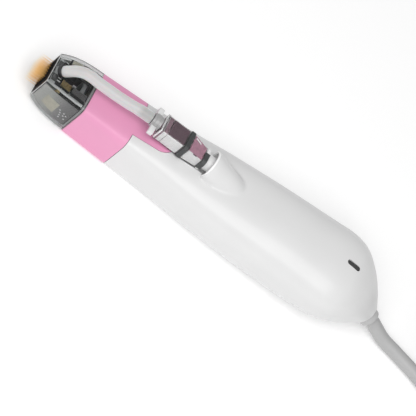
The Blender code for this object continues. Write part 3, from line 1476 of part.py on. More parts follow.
def tail_and_plug(points):
    """The short tail that rises out of the hank, and the plug that it ends in, which lies on the hank's end."""
    end = points[-1]
    way = (points[-1] - points[-2]).normalized()
    line = [end + way * GAP, end + way * CORD_RADIUS]
    step = (TAIL_LENGTH - CORD_RADIUS) / TAIL_POINTS
    heading = math.atan2(way.y, way.x)
    slope = math.asin(way.z)
    for k in range(1, TAIL_POINTS + 1):
        axis = pointing(heading + TAIL_ANGLE * k / TAIL_POINTS, slope + (TAIL_CLIMB - slope) * k / TAIL_POINTS)
        line.append(line[-1] + axis * step)
    line.append(line[-1] + axis * CORD_RADIUS)
    tube("cord_tail", [tuple(p) for p in line], CORD_RADIUS, "rubber", parent=None)
    boot_start = line[-1] + axis * GAP
    profile = (
        (0, BOOT_LENGTH),
        (BOOT_RADIUS, BOOT_LENGTH),
        (CORD_RADIUS + GAP, 0),
        (0, 0),
    )
    to_device = DEVICE.matrix_world.inverted()
    turned("plug_boot", profile, to_device @ boot_start, axis, "rubber")
    shell_start = to_device @ (boot_start + axis * (BOOT_LENGTH + GAP))
    plug(shell_start, axis)
    return line


def pointing(heading, slope):
    level = math.cos(slope)
    return Vector((level * math.cos(heading), level * math.sin(heading), math.sin(slope)))


def plug(start, axis):
    """A round metal connector: a ribbed grip, a slimmer nose with a cup, and the pins in their insert."""
    grip_end = PLUG_BODY_LENGTH / 2
    chamfer = (PLUG_RADIUS - PLUG_NOSE_RADIUS) / 2
    cup = PLUG_BODY_LENGTH - PLUG_CUP_DEPTH
    profile = (
        (0, cup),
        (PLUG_CUP_RADIUS, cup),
        (PLUG_CUP_RADIUS, PLUG_BODY_LENGTH),
        (PLUG_NOSE_RADIUS, PLUG_BODY_LENGTH),
        (PLUG_NOSE_RADIUS, grip_end),
        (PLUG_RADIUS, grip_end),
        (PLUG_RADIUS, chamfer),
        (PLUG_RADIUS - chamfer, 0),
        (0, 0),
    )
    turned("plug_shell", profile, start, axis, "steel", sides=28)
    floor = start + axis * (cup + GAP)
    insert = rod("plug_insert", floor, floor + axis * INSERT_DEPTH, PLUG_CUP_RADIUS - GAP, "gold")
    across = Vector((-axis.y, axis.x, 0))
    for k in range(PLUG_PIN_COUNT):
        angle = 2 * math.pi * k / PLUG_PIN_COUNT
        place = floor + (across * math.cos(angle) + Vector((0, 0, 1)) * math.sin(angle)) * PLUG_PIN_CIRCLE
        foot = place + axis * INSERT_DEPTH / 2
        join(insert, rod(f"plug_pin_{k}", foot, foot + axis * PLUG_PIN_LENGTH, PLUG_PIN_RADIUS, sides=8))


def cord_tie(points):
    """A flat strap round the hank's waist, with the end of the cord bound in."""
    centre = Vector((CORD_EXIT.x + HANK_BEHIND, HANK_ASIDE, 0))
    places = [
        before.lerp(after, k / TIE_STEPS) - centre
        for before, after in zip(points, points[1:])
        for k in range(TIE_STEPS)
    ]
    held = [place for place in places if abs(place.x) < TIE_WIDTH / 2 + GAP]
    clear = CORD_RADIUS + GAP
    near, far = min(place.y for place in held) - clear, max(place.y for place in held) + clear
    low, high = min(place.z for place in held) - clear, max(place.z for place in held) + clear
    edge = TIE_THICKNESS
    corners = ((near, low), (far, low), (far, high), (near, high))
    outer = ((near - edge, low - edge), (far + edge, low - edge), (far + edge, high + edge), (near - edge, high + edge))
    strap = upright_prism("cord_tie", rounded_outline(outer, CORD_RADIUS + edge), TIE_WIDTH, "dark")
    hole = upright_prism("tie_hole", rounded_outline(corners, CORD_RADIUS), TIE_WIDTH + 2 * GAP)
    stand = DEVICE.matrix_world.inverted() @ Matrix.Translation(centre)
    strap.matrix_basis = stand
    hole.matrix_basis = stand
    cut(strap, hole)


def upright_prism(name, outline, width, finish=None):
    """A flat outline of (aside, height) points that stands across the device's length, as thick as the width."""
    mesh = bmesh.new()
    half = width / 2
    rows = [[mesh.verts.new((x, y, z)) for y, z in outline] for x in (-half, half)]
    count = len(outline)
    for i in range(count):
        j = (i + 1) % count
        mesh.faces.new((rows[0][i], rows[0][j], rows[1][j], rows[1][i]))
    mesh.faces.new(rows[0])
    mesh.faces.new(rows[1])
    return from_bmesh(name, mesh, finish)


def main():
    shell = whole_shell()
    sleeve_and_housing(shell)
    belly_cover()
    cover_screws()
    cartridge_shell()
    cartridge_frame()
    needle_guide()
    needle_array()
    needle_carrier()
    return_spring()
    cartridge_base()
    contact_strips()
    port_nipple()
    suction_hose()
    hose_connector()
    filter_set()
    handle_inside()
    drive_train()
    electronics()
    wires()
    vacuum_line()
    seal_ring()
    gland()
    loops = cord()
    tail = tail_and_plug(loops)
    cord_tie([*loops, *tail])


main()
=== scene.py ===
# %% [markdown]
# # A radiofrequency microneedling handpiece
#
# The part is already solid and jointed. This script loads it as a fixed frame and gives it its looks: the smooth
# skins, the smoky cartridge with its gold needles, the clear filter, the cord in its hank, and a procedural
# material on every surface.
#
# Everything is in metres, with Z up. The device lies along X with its needles at the low end. Places on it are
# measured from the middle of the cartridge's front face, and ORIGIN is where that point stands in the room.

import math
from contextlib import contextmanager

import bpy
import numpy as np
from mathutils import Matrix, Vector


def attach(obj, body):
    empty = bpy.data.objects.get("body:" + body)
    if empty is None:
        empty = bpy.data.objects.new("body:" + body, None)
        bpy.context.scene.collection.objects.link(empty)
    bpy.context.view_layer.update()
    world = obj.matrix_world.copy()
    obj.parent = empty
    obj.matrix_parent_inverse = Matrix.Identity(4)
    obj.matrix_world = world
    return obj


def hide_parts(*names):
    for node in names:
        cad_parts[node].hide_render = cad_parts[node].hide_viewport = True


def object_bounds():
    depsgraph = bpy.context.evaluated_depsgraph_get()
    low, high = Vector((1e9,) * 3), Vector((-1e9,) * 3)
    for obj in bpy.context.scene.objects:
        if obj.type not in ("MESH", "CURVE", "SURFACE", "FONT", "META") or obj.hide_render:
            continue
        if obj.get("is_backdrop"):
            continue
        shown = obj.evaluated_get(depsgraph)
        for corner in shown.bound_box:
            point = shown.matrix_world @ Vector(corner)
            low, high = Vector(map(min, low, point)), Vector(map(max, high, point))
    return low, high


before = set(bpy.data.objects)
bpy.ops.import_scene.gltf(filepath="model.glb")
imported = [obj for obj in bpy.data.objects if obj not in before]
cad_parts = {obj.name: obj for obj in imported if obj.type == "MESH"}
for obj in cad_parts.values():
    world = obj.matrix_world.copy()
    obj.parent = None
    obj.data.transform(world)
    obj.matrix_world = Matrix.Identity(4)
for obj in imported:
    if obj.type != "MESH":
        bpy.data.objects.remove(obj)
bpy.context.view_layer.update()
ORIGIN = np.array((-0.102, 0.0, 0.013))

# %% [markdown]
# ## Camera
#
# The photograph looks down on the device from its right and a little from the needles' end, turned so that the
# device runs from the upper left to the lower right. A Track To constraint could aim the camera, but the roll of
# this view is easier to give by the axes of the picture. A long lens keeps the sides nearly parallel, as they are
# in the photograph.

# %% Camera
LENS, SENSOR, VIEW_WIDTH = 0.4, 0.036, 0.208
TARGET_RIGHT, TARGET_DOWN = 0.08125, 0.0669
FAR_CLIP = 20
scene = bpy.context.scene
right = Vector((0.779, 0.373, 0.488)).normalized()
up = Vector((-0.584, 0.733, 0.373))
up = (up - right * up.dot(right)).normalized()
toward = right.cross(up)
target = Vector(ORIGIN) + right * TARGET_RIGHT - up * TARGET_DOWN
stand = target + toward * (VIEW_WIDTH * LENS / SENSOR)
bpy.ops.object.camera_add(location=stand)
camera = bpy.context.active_object
camera.matrix_world = Matrix.Translation(stand) @ Matrix((right, up, toward)).transposed().to_4x4()
camera.data.lens = LENS * 1000
camera.data.sensor_width = SENSOR * 1000
camera.data.clip_end = FAR_CLIP
scene.camera = camera
print("camera at", [round(v, 3) for v in stand])

# %% [markdown]
# ## How a finish is made
#
# A moulded or plated surface is never one flat colour. Each finish is a small node tree on object coordinates: a
# coarse noise drifts the colour, and a fine noise varies the shine and raises a faint grain. A painted image could
# show the same, but it would need UV maps on every piece.


# %% Nodes that the finishes share
def rgb(colour):
    """A colour, which a single number gives as a grey."""
    return colour if isinstance(colour, tuple) else (colour,) * 3


def noise(tree, place, size, detail):
    """The value of a noise whose grains have about that size."""
    cloud = tree.nodes.new("ShaderNodeTexNoise")
    cloud.inputs["Scale"].default_value = 1 / size
    cloud.inputs["Detail"].default_value = detail
    tree.links.new(place, cloud.inputs["Vector"])
    return cloud.outputs["Fac"]


def ramp(tree, value, stops):
    """The colour that (place, colour) stops give a value."""
    node = tree.nodes.new("ShaderNodeValToRGB")
    while len(node.color_ramp.elements) < len(stops):
        node.color_ramp.elements.new(0.5)
    for element, (spot, shade) in zip(node.color_ramp.elements, stops):
        element.position = spot
        element.color = (*rgb(shade), 1)
    tree.links.new(value, node.inputs["Fac"])
    return node.outputs["Color"]


def mixed(tree, factor, first, second, blend_type="MIX"):
    """Two colours mixed. Each of the three inputs is a socket or a plain value."""
    mix = tree.nodes.new("ShaderNodeMix")
    mix.data_type = "RGBA"
    mix.blend_type = blend_type
    for name, source in (("Factor", factor), ("A", first), ("B", second)):
        if isinstance(source, bpy.types.NodeSocket):
            tree.links.new(source, mix.inputs[name])
        else:
            mix.inputs[name].default_value = source
    return mix.outputs["Result"]


print("noise, ramp and mix are ready")

# %% [markdown]
# Some pieces change colour along their length, and a painted sheen makes soft silicone lighter where it is seen edge
# on.


# %% Tints that change
def graded_tint(tree, place, tint, axis, start, end, stops):
    """The tint, multiplied by colours that change along an axis of the room."""
    split = tree.nodes.new("ShaderNodeSeparateXYZ")
    tree.links.new(place, split.inputs["Vector"])
    reach = tree.nodes.new("ShaderNodeMapRange")
    reach.inputs["From Min"].default_value = start
    reach.inputs["From Max"].default_value = end
    tree.links.new(split.outputs[axis], reach.inputs["Value"])
    return mixed(tree, 1.0, tint, ramp(tree, reach.outputs["Result"], stops), "MULTIPLY")


def painted_edge_sheen(tree, tint, edge):
    """The tint, which turns to another colour where the surface is seen edge on, as a painted sheen."""
    weight = tree.nodes.new("ShaderNodeLayerWeight")
    weight.inputs["Blend"].default_value = 0.3
    return mixed(tree, weight.outputs["Facing"], tint, (*rgb(edge), 1))


print("changing tints are ready")

# %% [markdown]
# The finish itself joins these nodes to one Principled shader. Anything that stays the same over a surface, such as
# the metal or the clear coat, is a plain value on the shader's own socket.

# %% A finish
GRAIN_SIZE = 0.0006
SMOOTHEST, COAT_ROUGHNESS, SCATTER_DEPTH = 0.02, 0.08, 0.002
SOCKETS = {
    "metallic": "Metallic",
    "coat": "Coat Weight",
    "transmission": "Transmission Weight",
    "ior": "IOR",
    "subsurface": "Subsurface Weight",
    "specular": "Specular IOR Level",
}


def finish(
    name, colour, drift=0.04, drift_size=0.02, roughness=0.3, uneven=0.06, grain=0.02, graded=None, edge=None, **shine
):
    """A material whose colour drifts by a share, with uneven roughness and a fine grain.

    A colour is a triple, or one number for a grey. Graded is (axis, start, end, stops), edge is the colour of a
    painted edge sheen, and shine gives values by the words in SOCKETS.
    """
    made = bpy.data.materials.new(name)
    made.use_nodes = True
    tree = made.node_tree
    shader = tree.nodes["Principled BSDF"]
    place = tree.nodes.new("ShaderNodeTexCoord").outputs["Object"]
    darker = tuple(c * (1 - drift) for c in rgb(colour))
    lighter = tuple(min(c * (1 + drift), 1) for c in rgb(colour))
    tint = ramp(tree, noise(tree, place, drift_size, 3), ((0.3, darker), (0.7, lighter)))
    if graded:
        tint = graded_tint(tree, place, tint, *graded)
    if edge:
        tint = painted_edge_sheen(tree, tint, edge)
    tree.links.new(tint, shader.inputs["Base Color"])

    fine = noise(tree, place, GRAIN_SIZE, 2)
    spread = tree.nodes.new("ShaderNodeMapRange")
    spread.inputs["To Min"].default_value = max(roughness - uneven, SMOOTHEST)
    spread.inputs["To Max"].default_value = roughness + uneven
    tree.links.new(fine, spread.inputs["Value"])
    tree.links.new(spread.outputs["Result"], shader.inputs["Roughness"])
    bump = tree.nodes.new("ShaderNodeBump")
    bump.inputs["Strength"].default_value = grain
    bump.inputs["Distance"].default_value = GRAIN_SIZE
    tree.links.new(fine, bump.inputs["Height"])
    tree.links.new(bump.outputs["Normal"], shader.inputs["Normal"])

    shader.inputs["Coat Roughness"].default_value = COAT_ROUGHNESS
    shader.inputs["Subsurface Scale"].default_value = SCATTER_DEPTH
    for word, value in {"ior": 1.46, **shine}.items():
        shader.inputs[SOCKETS[word]].default_value = value
    made.diffuse_color = (*rgb(colour), 1)
    print("finish", name)
    return made


# %% [markdown]
# ## Light and floor
#
# The photograph has the even light of a product picture. Lamps at a point would cast hard shadows, so a big soft
# box over the camera's shoulder lights the near side, and a long strip draws the sheen along the ridge. The bright
# surround fills the rest, and the far side falls off to grey.

# %% Surround and soft boxes
SURROUND_STRENGTH = 0.46
scene.view_settings.view_transform = "Standard"
world = bpy.data.worlds.new("studio")
world.use_nodes = True
surround = world.node_tree.nodes["Background"]
surround.inputs["Color"].default_value = (1, 1, 1, 1)
surround.inputs["Strength"].default_value = SURROUND_STRENGTH
scene.world = world


def softbox(name, place, size, power):
    """A rectangular lamp that is aimed at the middle of the room."""
    bpy.ops.object.light_add(type="AREA", location=place)
    lamp = bpy.context.active_object
    lamp.name = name
    lamp.data.shape = "RECTANGLE"
    lamp.data.size, lamp.data.size_y = size
    lamp.data.energy = power
    lamp.rotation_euler = Vector(place).to_track_quat("Z", "Y").to_euler()
    print(name, power, "W")


softbox("key_softbox", (-0.15, -0.55, 1.15), (1.2, 0.9), 9.8)
softbox("ridge_strip", (-0.12, -0.9, 0.8), (1.3, 0.25), 2.0)

# %% [markdown]
# The floor is a sheet of white studio paper, wide enough to have no edge in the picture. A little glow of its own
# lifts it to the pure white of the photograph, and the device still leaves a soft shadow on it.

# %% Floor
FLOOR_SIZE, PAPER_GLOW = 6, 0.15
PAPER = finish("studio_paper", 0.93, drift=0.004, drift_size=0.3, roughness=0.9, uneven=0.02, grain=0.01)
paper = PAPER.node_tree.nodes["Principled BSDF"]
paper.inputs["Emission Color"].default_value = (1, 1, 1, 1)
paper.inputs["Emission Strength"].default_value = PAPER_GLOW
bpy.ops.mesh.primitive_plane_add(size=FLOOR_SIZE)
floor = bpy.context.active_object
floor.name = "studio_floor"
floor.data.materials.append(PAPER)
floor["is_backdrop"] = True
print("floor is", FLOOR_SIZE, "m wide")

# %% [markdown]
# ## Tools for shaping
#
# Most pieces are skins: a flat grid whose rows are laid on rings of points and welded along the seam. Box modelling
# with subdivision could give soft forms too, but rings follow a measured section at every station.

# %% Skins from rings
WELD = 1e-7


def activate(obj):
    """Selects one object alone and makes it the active one."""
    bpy.ops.object.select_all(action="DESELECT")
    obj.select_set(True)
    bpy.context.view_layer.objects.active = obj
    return obj


def named(name):
    """The object that was just added, under its own name."""
    obj = bpy.context.active_object
    obj.name = obj.data.name = name
    return obj


@contextmanager
def editing():
    """Edit mode with everything selected, and back to object mode after the steps inside."""
    bpy.ops.object.mode_set(mode="EDIT")
    bpy.ops.mesh.select_all(action="SELECT")
    yield
    bpy.ops.object.mode_set(mode="OBJECT")


def laid_grid(name, points, columns, rows, closed):
    """A grid whose points are laid on the given ones, welded where they meet, with its open ends closed or not."""
    bpy.ops.object.select_all(action="DESELECT")
    bpy.ops.mesh.primitive_grid_add(x_subdivisions=columns, y_subdivisions=rows - 1, size=1, calc_uvs=False)
    obj = named(name)
    obj.data.vertices.foreach_set("co", points.ravel())
    obj.data.update()
    with editing():
        bpy.ops.mesh.remove_doubles(threshold=WELD)
        if closed:
            bpy.ops.mesh.select_all(action="SELECT")
            bpy.ops.mesh.fill_holes(sides=0)
        bpy.ops.mesh.select_all(action="SELECT")
        bpy.ops.mesh.normals_make_consistent(inside=False)
    return obj


def skin(name, rings, closed=True):
    """A skin over rings of points, which are in the device's own frame."""
    rings = np.asarray(rings, dtype=float)
    rows, columns = rings.shape[:2]
    wrapped = np.concatenate([rings, rings[:, :1]], axis=1) + ORIGIN
    return laid_grid(name, wrapped, columns, rows, closed)


print("skins are ready")

# %% [markdown]
# Openings are cut with Booleans, as a toolmaker cuts a mould, and not by deleting faces, so that every wall keeps
# its thickness. Each finished piece then gets its material, its shading by angle and the solid body that it rides on.


# %% Cutting and finishing
def boolean(obj, cutter):
    """Cuts the cutter out of a piece and removes it."""
    activate(obj)
    step = obj.modifiers.new("cut", "BOOLEAN")
    step.operation = "DIFFERENCE"
    step.solver = "EXACT"
    step.object = cutter
    bpy.ops.object.modifier_apply(modifier=step.name)
    bpy.data.objects.remove(cutter, do_unlink=True)
    return obj


def finished(obj, material, *replaced, body="tip_set", angle=35, slot=None):
    """Gives a piece its finish, its shading and the CAD body that it rides on, and hides the nodes that it stands for.
    """
    activate(obj)
    obj.data.materials.clear()
    obj.data.materials.append(material)
    bpy.ops.object.shade_smooth_by_angle(angle=math.radians(angle))
    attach(obj, body)
    if replaced:
        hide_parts(*replaced)
    print(obj.name, len(obj.data.vertices), "points")
    return obj


# %% [markdown]
# ## The handle's section
#
# The handle is one flowing moulding, nearly square at the cartridge and an ellipse at its widest. A stretched and
# sculpted ball would look alike from afar. A table of sections with a smooth curve through its rows gives the
# measured width, top and bottom everywhere.

# %% Sections of the handle
LENGTH, HALF_WIDTH, CROWN, DROP = 0.209, 0.025, 0.0256, 0.013
# Station as a share of the length, half width, top and bottom as shares of the greatest, squareness.
SECTIONS = (
    (0.1134, 0.558, 0.512, 0.969, 9.0),
    (0.177, 0.585, 0.535, 0.985, 7.5),
    (0.244, 0.620, 0.5625, 1.0, 6.0),
    (0.316, 0.674, 0.621, 1.0, 4.5),
    (0.392, 0.756, 0.680, 1.0, 3.4),
    (0.469, 0.840, 0.746, 1.0, 3.0),
    (0.553, 0.904, 0.820, 1.0, 2.7),
    (0.636, 0.948, 0.895, 1.0, 2.55),
    (0.718, 0.972, 0.957, 0.962, 2.45),
    (0.789, 0.996, 0.984, 0.838, 2.4),
    (0.847, 1.0, 1.0, 0.669, 2.4),
    (0.885, 0.936, 0.969, 0.577, 2.4),
    (0.909, 0.840, 0.898, 0.531, 2.4),
    (0.933, 0.708, 0.790, 0.500, 2.3),
    (0.9545, 0.556, 0.665, 0.477, 2.25),
    (0.976, 0.390, 0.485, 0.446, 2.15),
    (1.0, 0.200, 0.220, 0.420, 2.1),
)


def smooth_row(rows, at):
    """The row of a table at a place, by a smooth curve through its rows."""
    table = np.array(rows, dtype=float)
    i = int(np.clip(np.searchsorted(table[:, 0], at) - 1, 0, len(table) - 2))
    before, here = table[max(i - 1, 0)], table[i]
    after, beyond = table[i + 1], table[min(i + 2, len(table) - 1)]
    span = after[0] - here[0]
    t = (at - here[0]) / span
    slope_here = (after - before) / (after[0] - before[0]) * span
    slope_after = (beyond - here) / (beyond[0] - here[0]) * span
    return (
        (2 * t**3 - 3 * t**2 + 1) * here
        + (t**3 - 2 * t**2 + t) * slope_here
        + (3 * t**2 - 2 * t**3) * after
        + (t**3 - t**2) * slope_after
    )


def section(station):
    """Half width, top, bottom and squareness of the handle there."""
    _, width, top, bottom, squareness = smooth_row(SECTIONS, station / LENGTH)
    return width * HALF_WIDTH, top * CROWN, -bottom * DROP, squareness


def polar(angles, half_width, half_height, squareness):
    """How far a rounded square reaches from its middle at each angle."""
    across = np.abs(np.cos(angles) / half_width) ** squareness
    upward = np.abs(np.sin(angles) / half_height) ** squareness
    return (across + upward) ** (-1 / squareness)


print("the handle has", len(SECTIONS), "sections")

# %% [markdown]
# ## The hood
#
# The hood that takes the filter's nozzle grows out of the handle's top with a soft fillet. A second body with a
# bevelled joint would show a seam. Here each ring of the skin is the larger of the handle and the hood at every
# angle, with the step rounded over, so that both are one surface.

# %% The hood over the handle
HOOD_FRONT, HOOD_LENGTH, HOOD_RADIUS = 0.0908, 0.0252, 0.0084
LEAN, LEAN_FROM, RIM_ROUND = 0.08, 0.0183, 0.001
FILLET_ENDS, FILLET_MORE, FALL_OUTSIDE = 0.0016, 0.0018, 1.5
# Share of the hood's length, radius as a share of the greatest, height of its axis.
HOOD_ROWS = (
    (0.0, 1.0, 0.0208), (0.16, 0.985, 0.0199), (0.36, 0.945, 0.0184), (0.6, 0.85, 0.0172),
    (0.8, 0.72, 0.0162), (0.92, 0.63, 0.0148), (1.0, 0.53, 0.0124),
)


def smooth_max(a, b, width):
    """The larger of two lengths, with the step between them rounded over."""
    near = np.maximum(width - np.abs(a - b), 0) / width
    return np.maximum(a, b) + near**3 * width / 6


def leaned(points, back):
    """Leans the hood's mouth backwards with height, less and less towards the hood's end."""
    leaned_points = points.copy()
    excess = np.maximum(points[:, 2] - LEAN_FROM, 0)
    leaned_points[:, 0] += LEAN * excess * (1 - back) ** 2
    return leaned_points


def with_hood(reach, around, station, middle, back):
    """The reach of a ring, made larger where the hood stands out of it."""
    _, size, axis_rise = smooth_row(HOOD_ROWS, back)
    radius = HOOD_RADIUS * size
    inward = max(RIM_ROUND - (station - HOOD_FRONT), 0)
    radius += math.sqrt(RIM_ROUND**2 - inward**2) - RIM_ROUND
    above = axis_rise - middle
    room = radius**2 - (above * np.cos(around)) ** 2
    edge = np.where(room > 0, np.sqrt(np.abs(room)), -np.sqrt(np.abs(room)) * FALL_OUTSIDE)
    hood = np.where(np.sin(around) > 0, above * np.sin(around) + edge, 0)
    return smooth_max(reach, hood, FILLET_ENDS + FILLET_MORE * (1 - (2 * back - 1) ** 2))


print("the hood is", HOOD_LENGTH * 1000, "mm long")

# %% A ring of the handle
SKIN_POINTS, BELLY_SHAVE, BELLY_ROUND = 208, 0.0008, 0.0003


def turns(count, offset=0.5):
    """Even angles round a full circle."""
    return 2 * math.pi * (np.arange(count) + offset) / count


def body_ring(station, hooded=False, inset=0.0, count=SKIN_POINTS):
    """A ring of the handle, that far inside its surface, flat where the belly lies on the table."""
    around = turns(count)
    width, top, bottom, squareness = section(station)
    bottom -= BELLY_SHAVE
    middle, half = (top + bottom) / 2, (top - bottom) / 2
    reach = polar(around, width - inset, half - inset, squareness)
    back = float(np.clip((station - HOOD_FRONT) / HOOD_LENGTH, 0, 1))
    if hooded:
        reach = with_hood(reach, around, station, middle, back)
    y, z = reach * np.cos(around), middle + reach * np.sin(around)
    low = -DROP + inset
    z = (z + low + np.sqrt((z - low) ** 2 + BELLY_ROUND**2)) / 2
    ring = np.stack([np.full(count, station), y, z], axis=1)
    return leaned(ring, back) if hooded else ring


print("a ring has", SKIN_POINTS, "points")

# %% [markdown]
# The rings stand closer together over the hood, whose rim is rounded in five small steps.

# %% The handle's form
SLEEVE_FRONT = 0.0237
rim_stations = HOOD_FRONT + RIM_ROUND * (1 - np.cos(np.linspace(0, math.pi / 2, 5)))
before_hood = np.linspace(SLEEVE_FRONT, HOOD_FRONT, 62)
over_hood = np.linspace(rim_stations[-1] + 0.0004, HOOD_FRONT + HOOD_LENGTH, 44)
behind_hood = np.linspace(HOOD_FRONT + HOOD_LENGTH + 0.001, LENGTH, 90)
rings = [body_ring(x) for x in before_hood]
rings += [body_ring(x, hooded=True) for x in [*rim_stations, *over_hood]]
rings += [body_ring(x) for x in behind_hood]
shell = skin("handle_form", rings)
print("rings of the handle:", len(rings))

# %% [markdown]
# The shell is hollow with an even wall, and a trough under the filter keeps its own wall. A Solidify modifier would
# also give a wall, but it would fold over itself in the narrow hood, so the hollow is a smaller form that is cut out.

# %% Hollow and cradle
WALL, GAP = 0.0022, 0.0003
FILTER_RISE, NOZZLE_RISE = 0.0233, 0.0215
CRADLE_FRONT, TAPER_FRONT, TAPER_REAR = 0.055, 0.0766, 0.0859
FILTER_ROOM, NOZZLE_ROOM, CRADLE_WALL_REAR = 0.0071, 0.0051, 0.105


def circle_ring(station, radius, rise, sides=64):
    """A circle of points square to the device's axis."""
    around = turns(sides)
    return np.stack([np.full(sides, station), radius * np.cos(around), rise + radius * np.sin(around)], axis=1)


def cradle(name, extra, rear_end):
    """The trough that the filter lies in, that much wider than the filter."""
    shapes = ((CRADLE_FRONT, FILTER_ROOM, FILTER_RISE), (TAPER_FRONT, FILTER_ROOM, FILTER_RISE))
    shapes += ((TAPER_REAR, NOZZLE_ROOM, NOZZLE_RISE), (rear_end, NOZZLE_ROOM, NOZZLE_RISE))
    return skin(name, [circle_ring(x, half + extra, rise) for x, half, rise in shapes])


inner_stations = np.linspace(SLEEVE_FRONT, LENGTH - 2 * WALL, 70)
inner = [body_ring(x, inset=WALL, count=96) for x in inner_stations]
inner.insert(0, inner[0] - np.array((WALL, 0, 0)))
hollow = skin("handle_hollow", inner)
boolean(hollow, cradle("cradle_wall", 0.0037, CRADLE_WALL_REAR))
boolean(shell, hollow)
boolean(shell, cradle("cradle_room", 0.0011, HOOD_FRONT + GAP))
print("handle form", len(shell.data.vertices), "points")

# %% [markdown]
# The mouth of the hood is a shallow cup with a rounded lip, and a bore behind it that the nozzle seals in.

# %% The mouth
# How far behind the hood's front, and radius, for the part that leans with the hood.
CUP_MOUTH = ((-0.0003, 0.0071), (0.0, 0.0071), (0.0003, 0.0069), (0.0008, 0.0067))
# Station and radius of the rest, down to the end of the bore.
CUP_DEPTH = ((0.0934, 0.0067), (0.0937, 0.0064), (0.0937, 0.005), (0.0962, 0.005), (0.0963, 0.0045), (0.0976, 0.0045))
cup = [leaned(circle_ring(HOOD_FRONT + x, radius, NOZZLE_RISE), 0) for x, radius in CUP_MOUTH]
cup += [circle_ring(x, radius, NOZZLE_RISE) for x, radius in CUP_DEPTH]
boolean(shell, skin("mouth_cup", cup))
print("mouth cut with", len(cup), "rings")

# %% [markdown]
# ## The pink sleeve
#
# The sleeve is a separate satin pink moulding that closes the nose and sends a tongue back under the hose. It could be
# a second skin, but then the two surfaces would never meet exactly. It is cut out of a twin of the same form, as the
# real split line is, with a hair's gap between the two.

# %% The tongue's outline
PINK = finish("pink_satin_plastic", (0.78, 0.33, 0.52), drift=0.02, roughness=0.42, uneven=0.04, grain=0.04)
SLEEVE_REAR = 0.0505
TONGUE_REACH, TONGUE_HALF, TONGUE_ROOT_HALF, TONGUE_OVERLAP = 0.0225, 0.0078, 0.0083, 0.02
TONGUE_FLOOR, CUT_TOP = 0.002, 0.05


def box(name, low, high):
    """A block between two corners in the device's own frame."""
    bpy.ops.object.select_all(action="DESELECT")
    bpy.ops.mesh.primitive_cube_add(size=1)
    obj = named(name)
    low, high = np.array(low) + ORIGIN, np.array(high) + ORIGIN
    with editing():
        bpy.ops.transform.resize(value=tuple(high - low))
        bpy.ops.transform.translate(value=tuple((high + low) / 2))
    return obj


def prism(name, outline, low, high):
    """A flat outline of (station, aside) points, raised from one height to another."""
    flat = np.array(outline)
    return skin(name, [np.column_stack([flat, np.full(len(flat), level)]) for level in (low, high)])


def twin(obj, name):
    """A copy with its own mesh."""
    activate(obj)
    bpy.ops.object.duplicate()
    return named(name)


def tongue_outline(extra=0.0):
    """The pink tongue seen from above: nearly straight sides and a round end."""
    centre = SLEEVE_REAR + TONGUE_REACH - TONGUE_HALF
    start = SLEEVE_REAR - TONGUE_OVERLAP
    spread = TONGUE_OVERLAP * (TONGUE_ROOT_HALF - TONGUE_HALF) / (centre - SLEEVE_REAR)
    half_start = TONGUE_ROOT_HALF + extra + spread
    radius = TONGUE_HALF + extra
    arc = [(centre + radius * math.cos(a), radius * math.sin(a)) for a in math.pi * (np.arange(49) / 48 - 0.5)]
    return [(start, -half_start), *arc, (start, half_start)]


print("tongue outline of", len(tongue_outline()), "points")

# %% Sleeve and housing
CLEAR_SIDE, CLEAR_TOP = 0.045, 0.0456
rear = box("rear_region", (SLEEVE_REAR, -CLEAR_SIDE, -CLEAR_SIDE), (LENGTH + 0.02, CLEAR_SIDE, CLEAR_TOP))
boolean(rear, prism("tongue", tongue_outline(), TONGUE_FLOOR, CUT_TOP))
finished(boolean(twin(shell, "pink_sleeve"), rear), PINK, "nose_sleeve", body="handle")

boolean(shell, box("front_region", (0, -CLEAR_SIDE, -CLEAR_SIDE), (SLEEVE_REAR + GAP, CLEAR_SIDE, CLEAR_TOP)))
boolean(shell, prism("tongue_room", tongue_outline(GAP), TONGUE_FLOOR - GAP, CUT_TOP))
shell.name = shell.data.name = "white_housing"

# %% [markdown]
# ## The white housing
#
# The housing is a white moulding with a low gloss. It has a hatch in its belly, a flat at its tail that the cord's
# collar lies on, and a slot for the status light. All are plain cuts, which stay crisp in the smooth skin.

# %% Places of the openings
WHITE = finish("white_satin_plastic", 0.73, drift=0.012, uneven=0.03)
GLAND_TILT = math.radians(25)
gland_axis = np.array((math.cos(GLAND_TILT), 0, -math.sin(GLAND_TILT)))
gland_seat = np.array((LENGTH - 0.0024, 0, -0.0012))
NECK_OUT, NECK_IN, NECK_RADIUS = 0.004, 0.0079, 0.0041
HATCH_FRONT, HATCH_REAR, HATCH_HALF, HATCH_CORNER = 0.058, 0.651 * LENGTH, 0.0083, 0.004
SLOT_STATION, SLOT_LONG, SLOT_HALF, SLOT_CORNER = LENGTH - 0.0275, 0.0075 / 2 + GAP, 0.00145, 0.00144
QUARTER_STEPS = 12


def rod(name, start, end, radius, sides=48):
    """A cylinder between two points in the device's own frame."""
    start, end = Vector(np.array(start) + ORIGIN), Vector(np.array(end) + ORIGIN)
    bpy.ops.object.select_all(action="DESELECT")
    bpy.ops.mesh.primitive_cylinder_add(vertices=sides, radius=radius, depth=(end - start).length)
    obj = named(name)
    turn = Vector((0, 0, 1)).rotation_difference(end - start).to_matrix().to_4x4()
    obj.data.transform(Matrix.Translation((start + end) / 2) @ turn)
    return obj


def rounded_outline(x0, x1, half, corner):
    """A rectangle with round corners, seen from above."""
    points = []
    left, right, side = x0 + corner, x1 - corner, half - corner
    for cx, cy, turn in ((right, side, 0.0), (left, side, 0.5), (left, -side, 1.0), (right, -side, 1.5)):
        for a in math.pi * (turn + np.linspace(0, 0.5, QUARTER_STEPS + 1)):
            points.append((cx + corner * math.cos(a), cy + corner * math.sin(a)))
    return points


print("neck and slot:", NECK_RADIUS, SLOT_LONG)

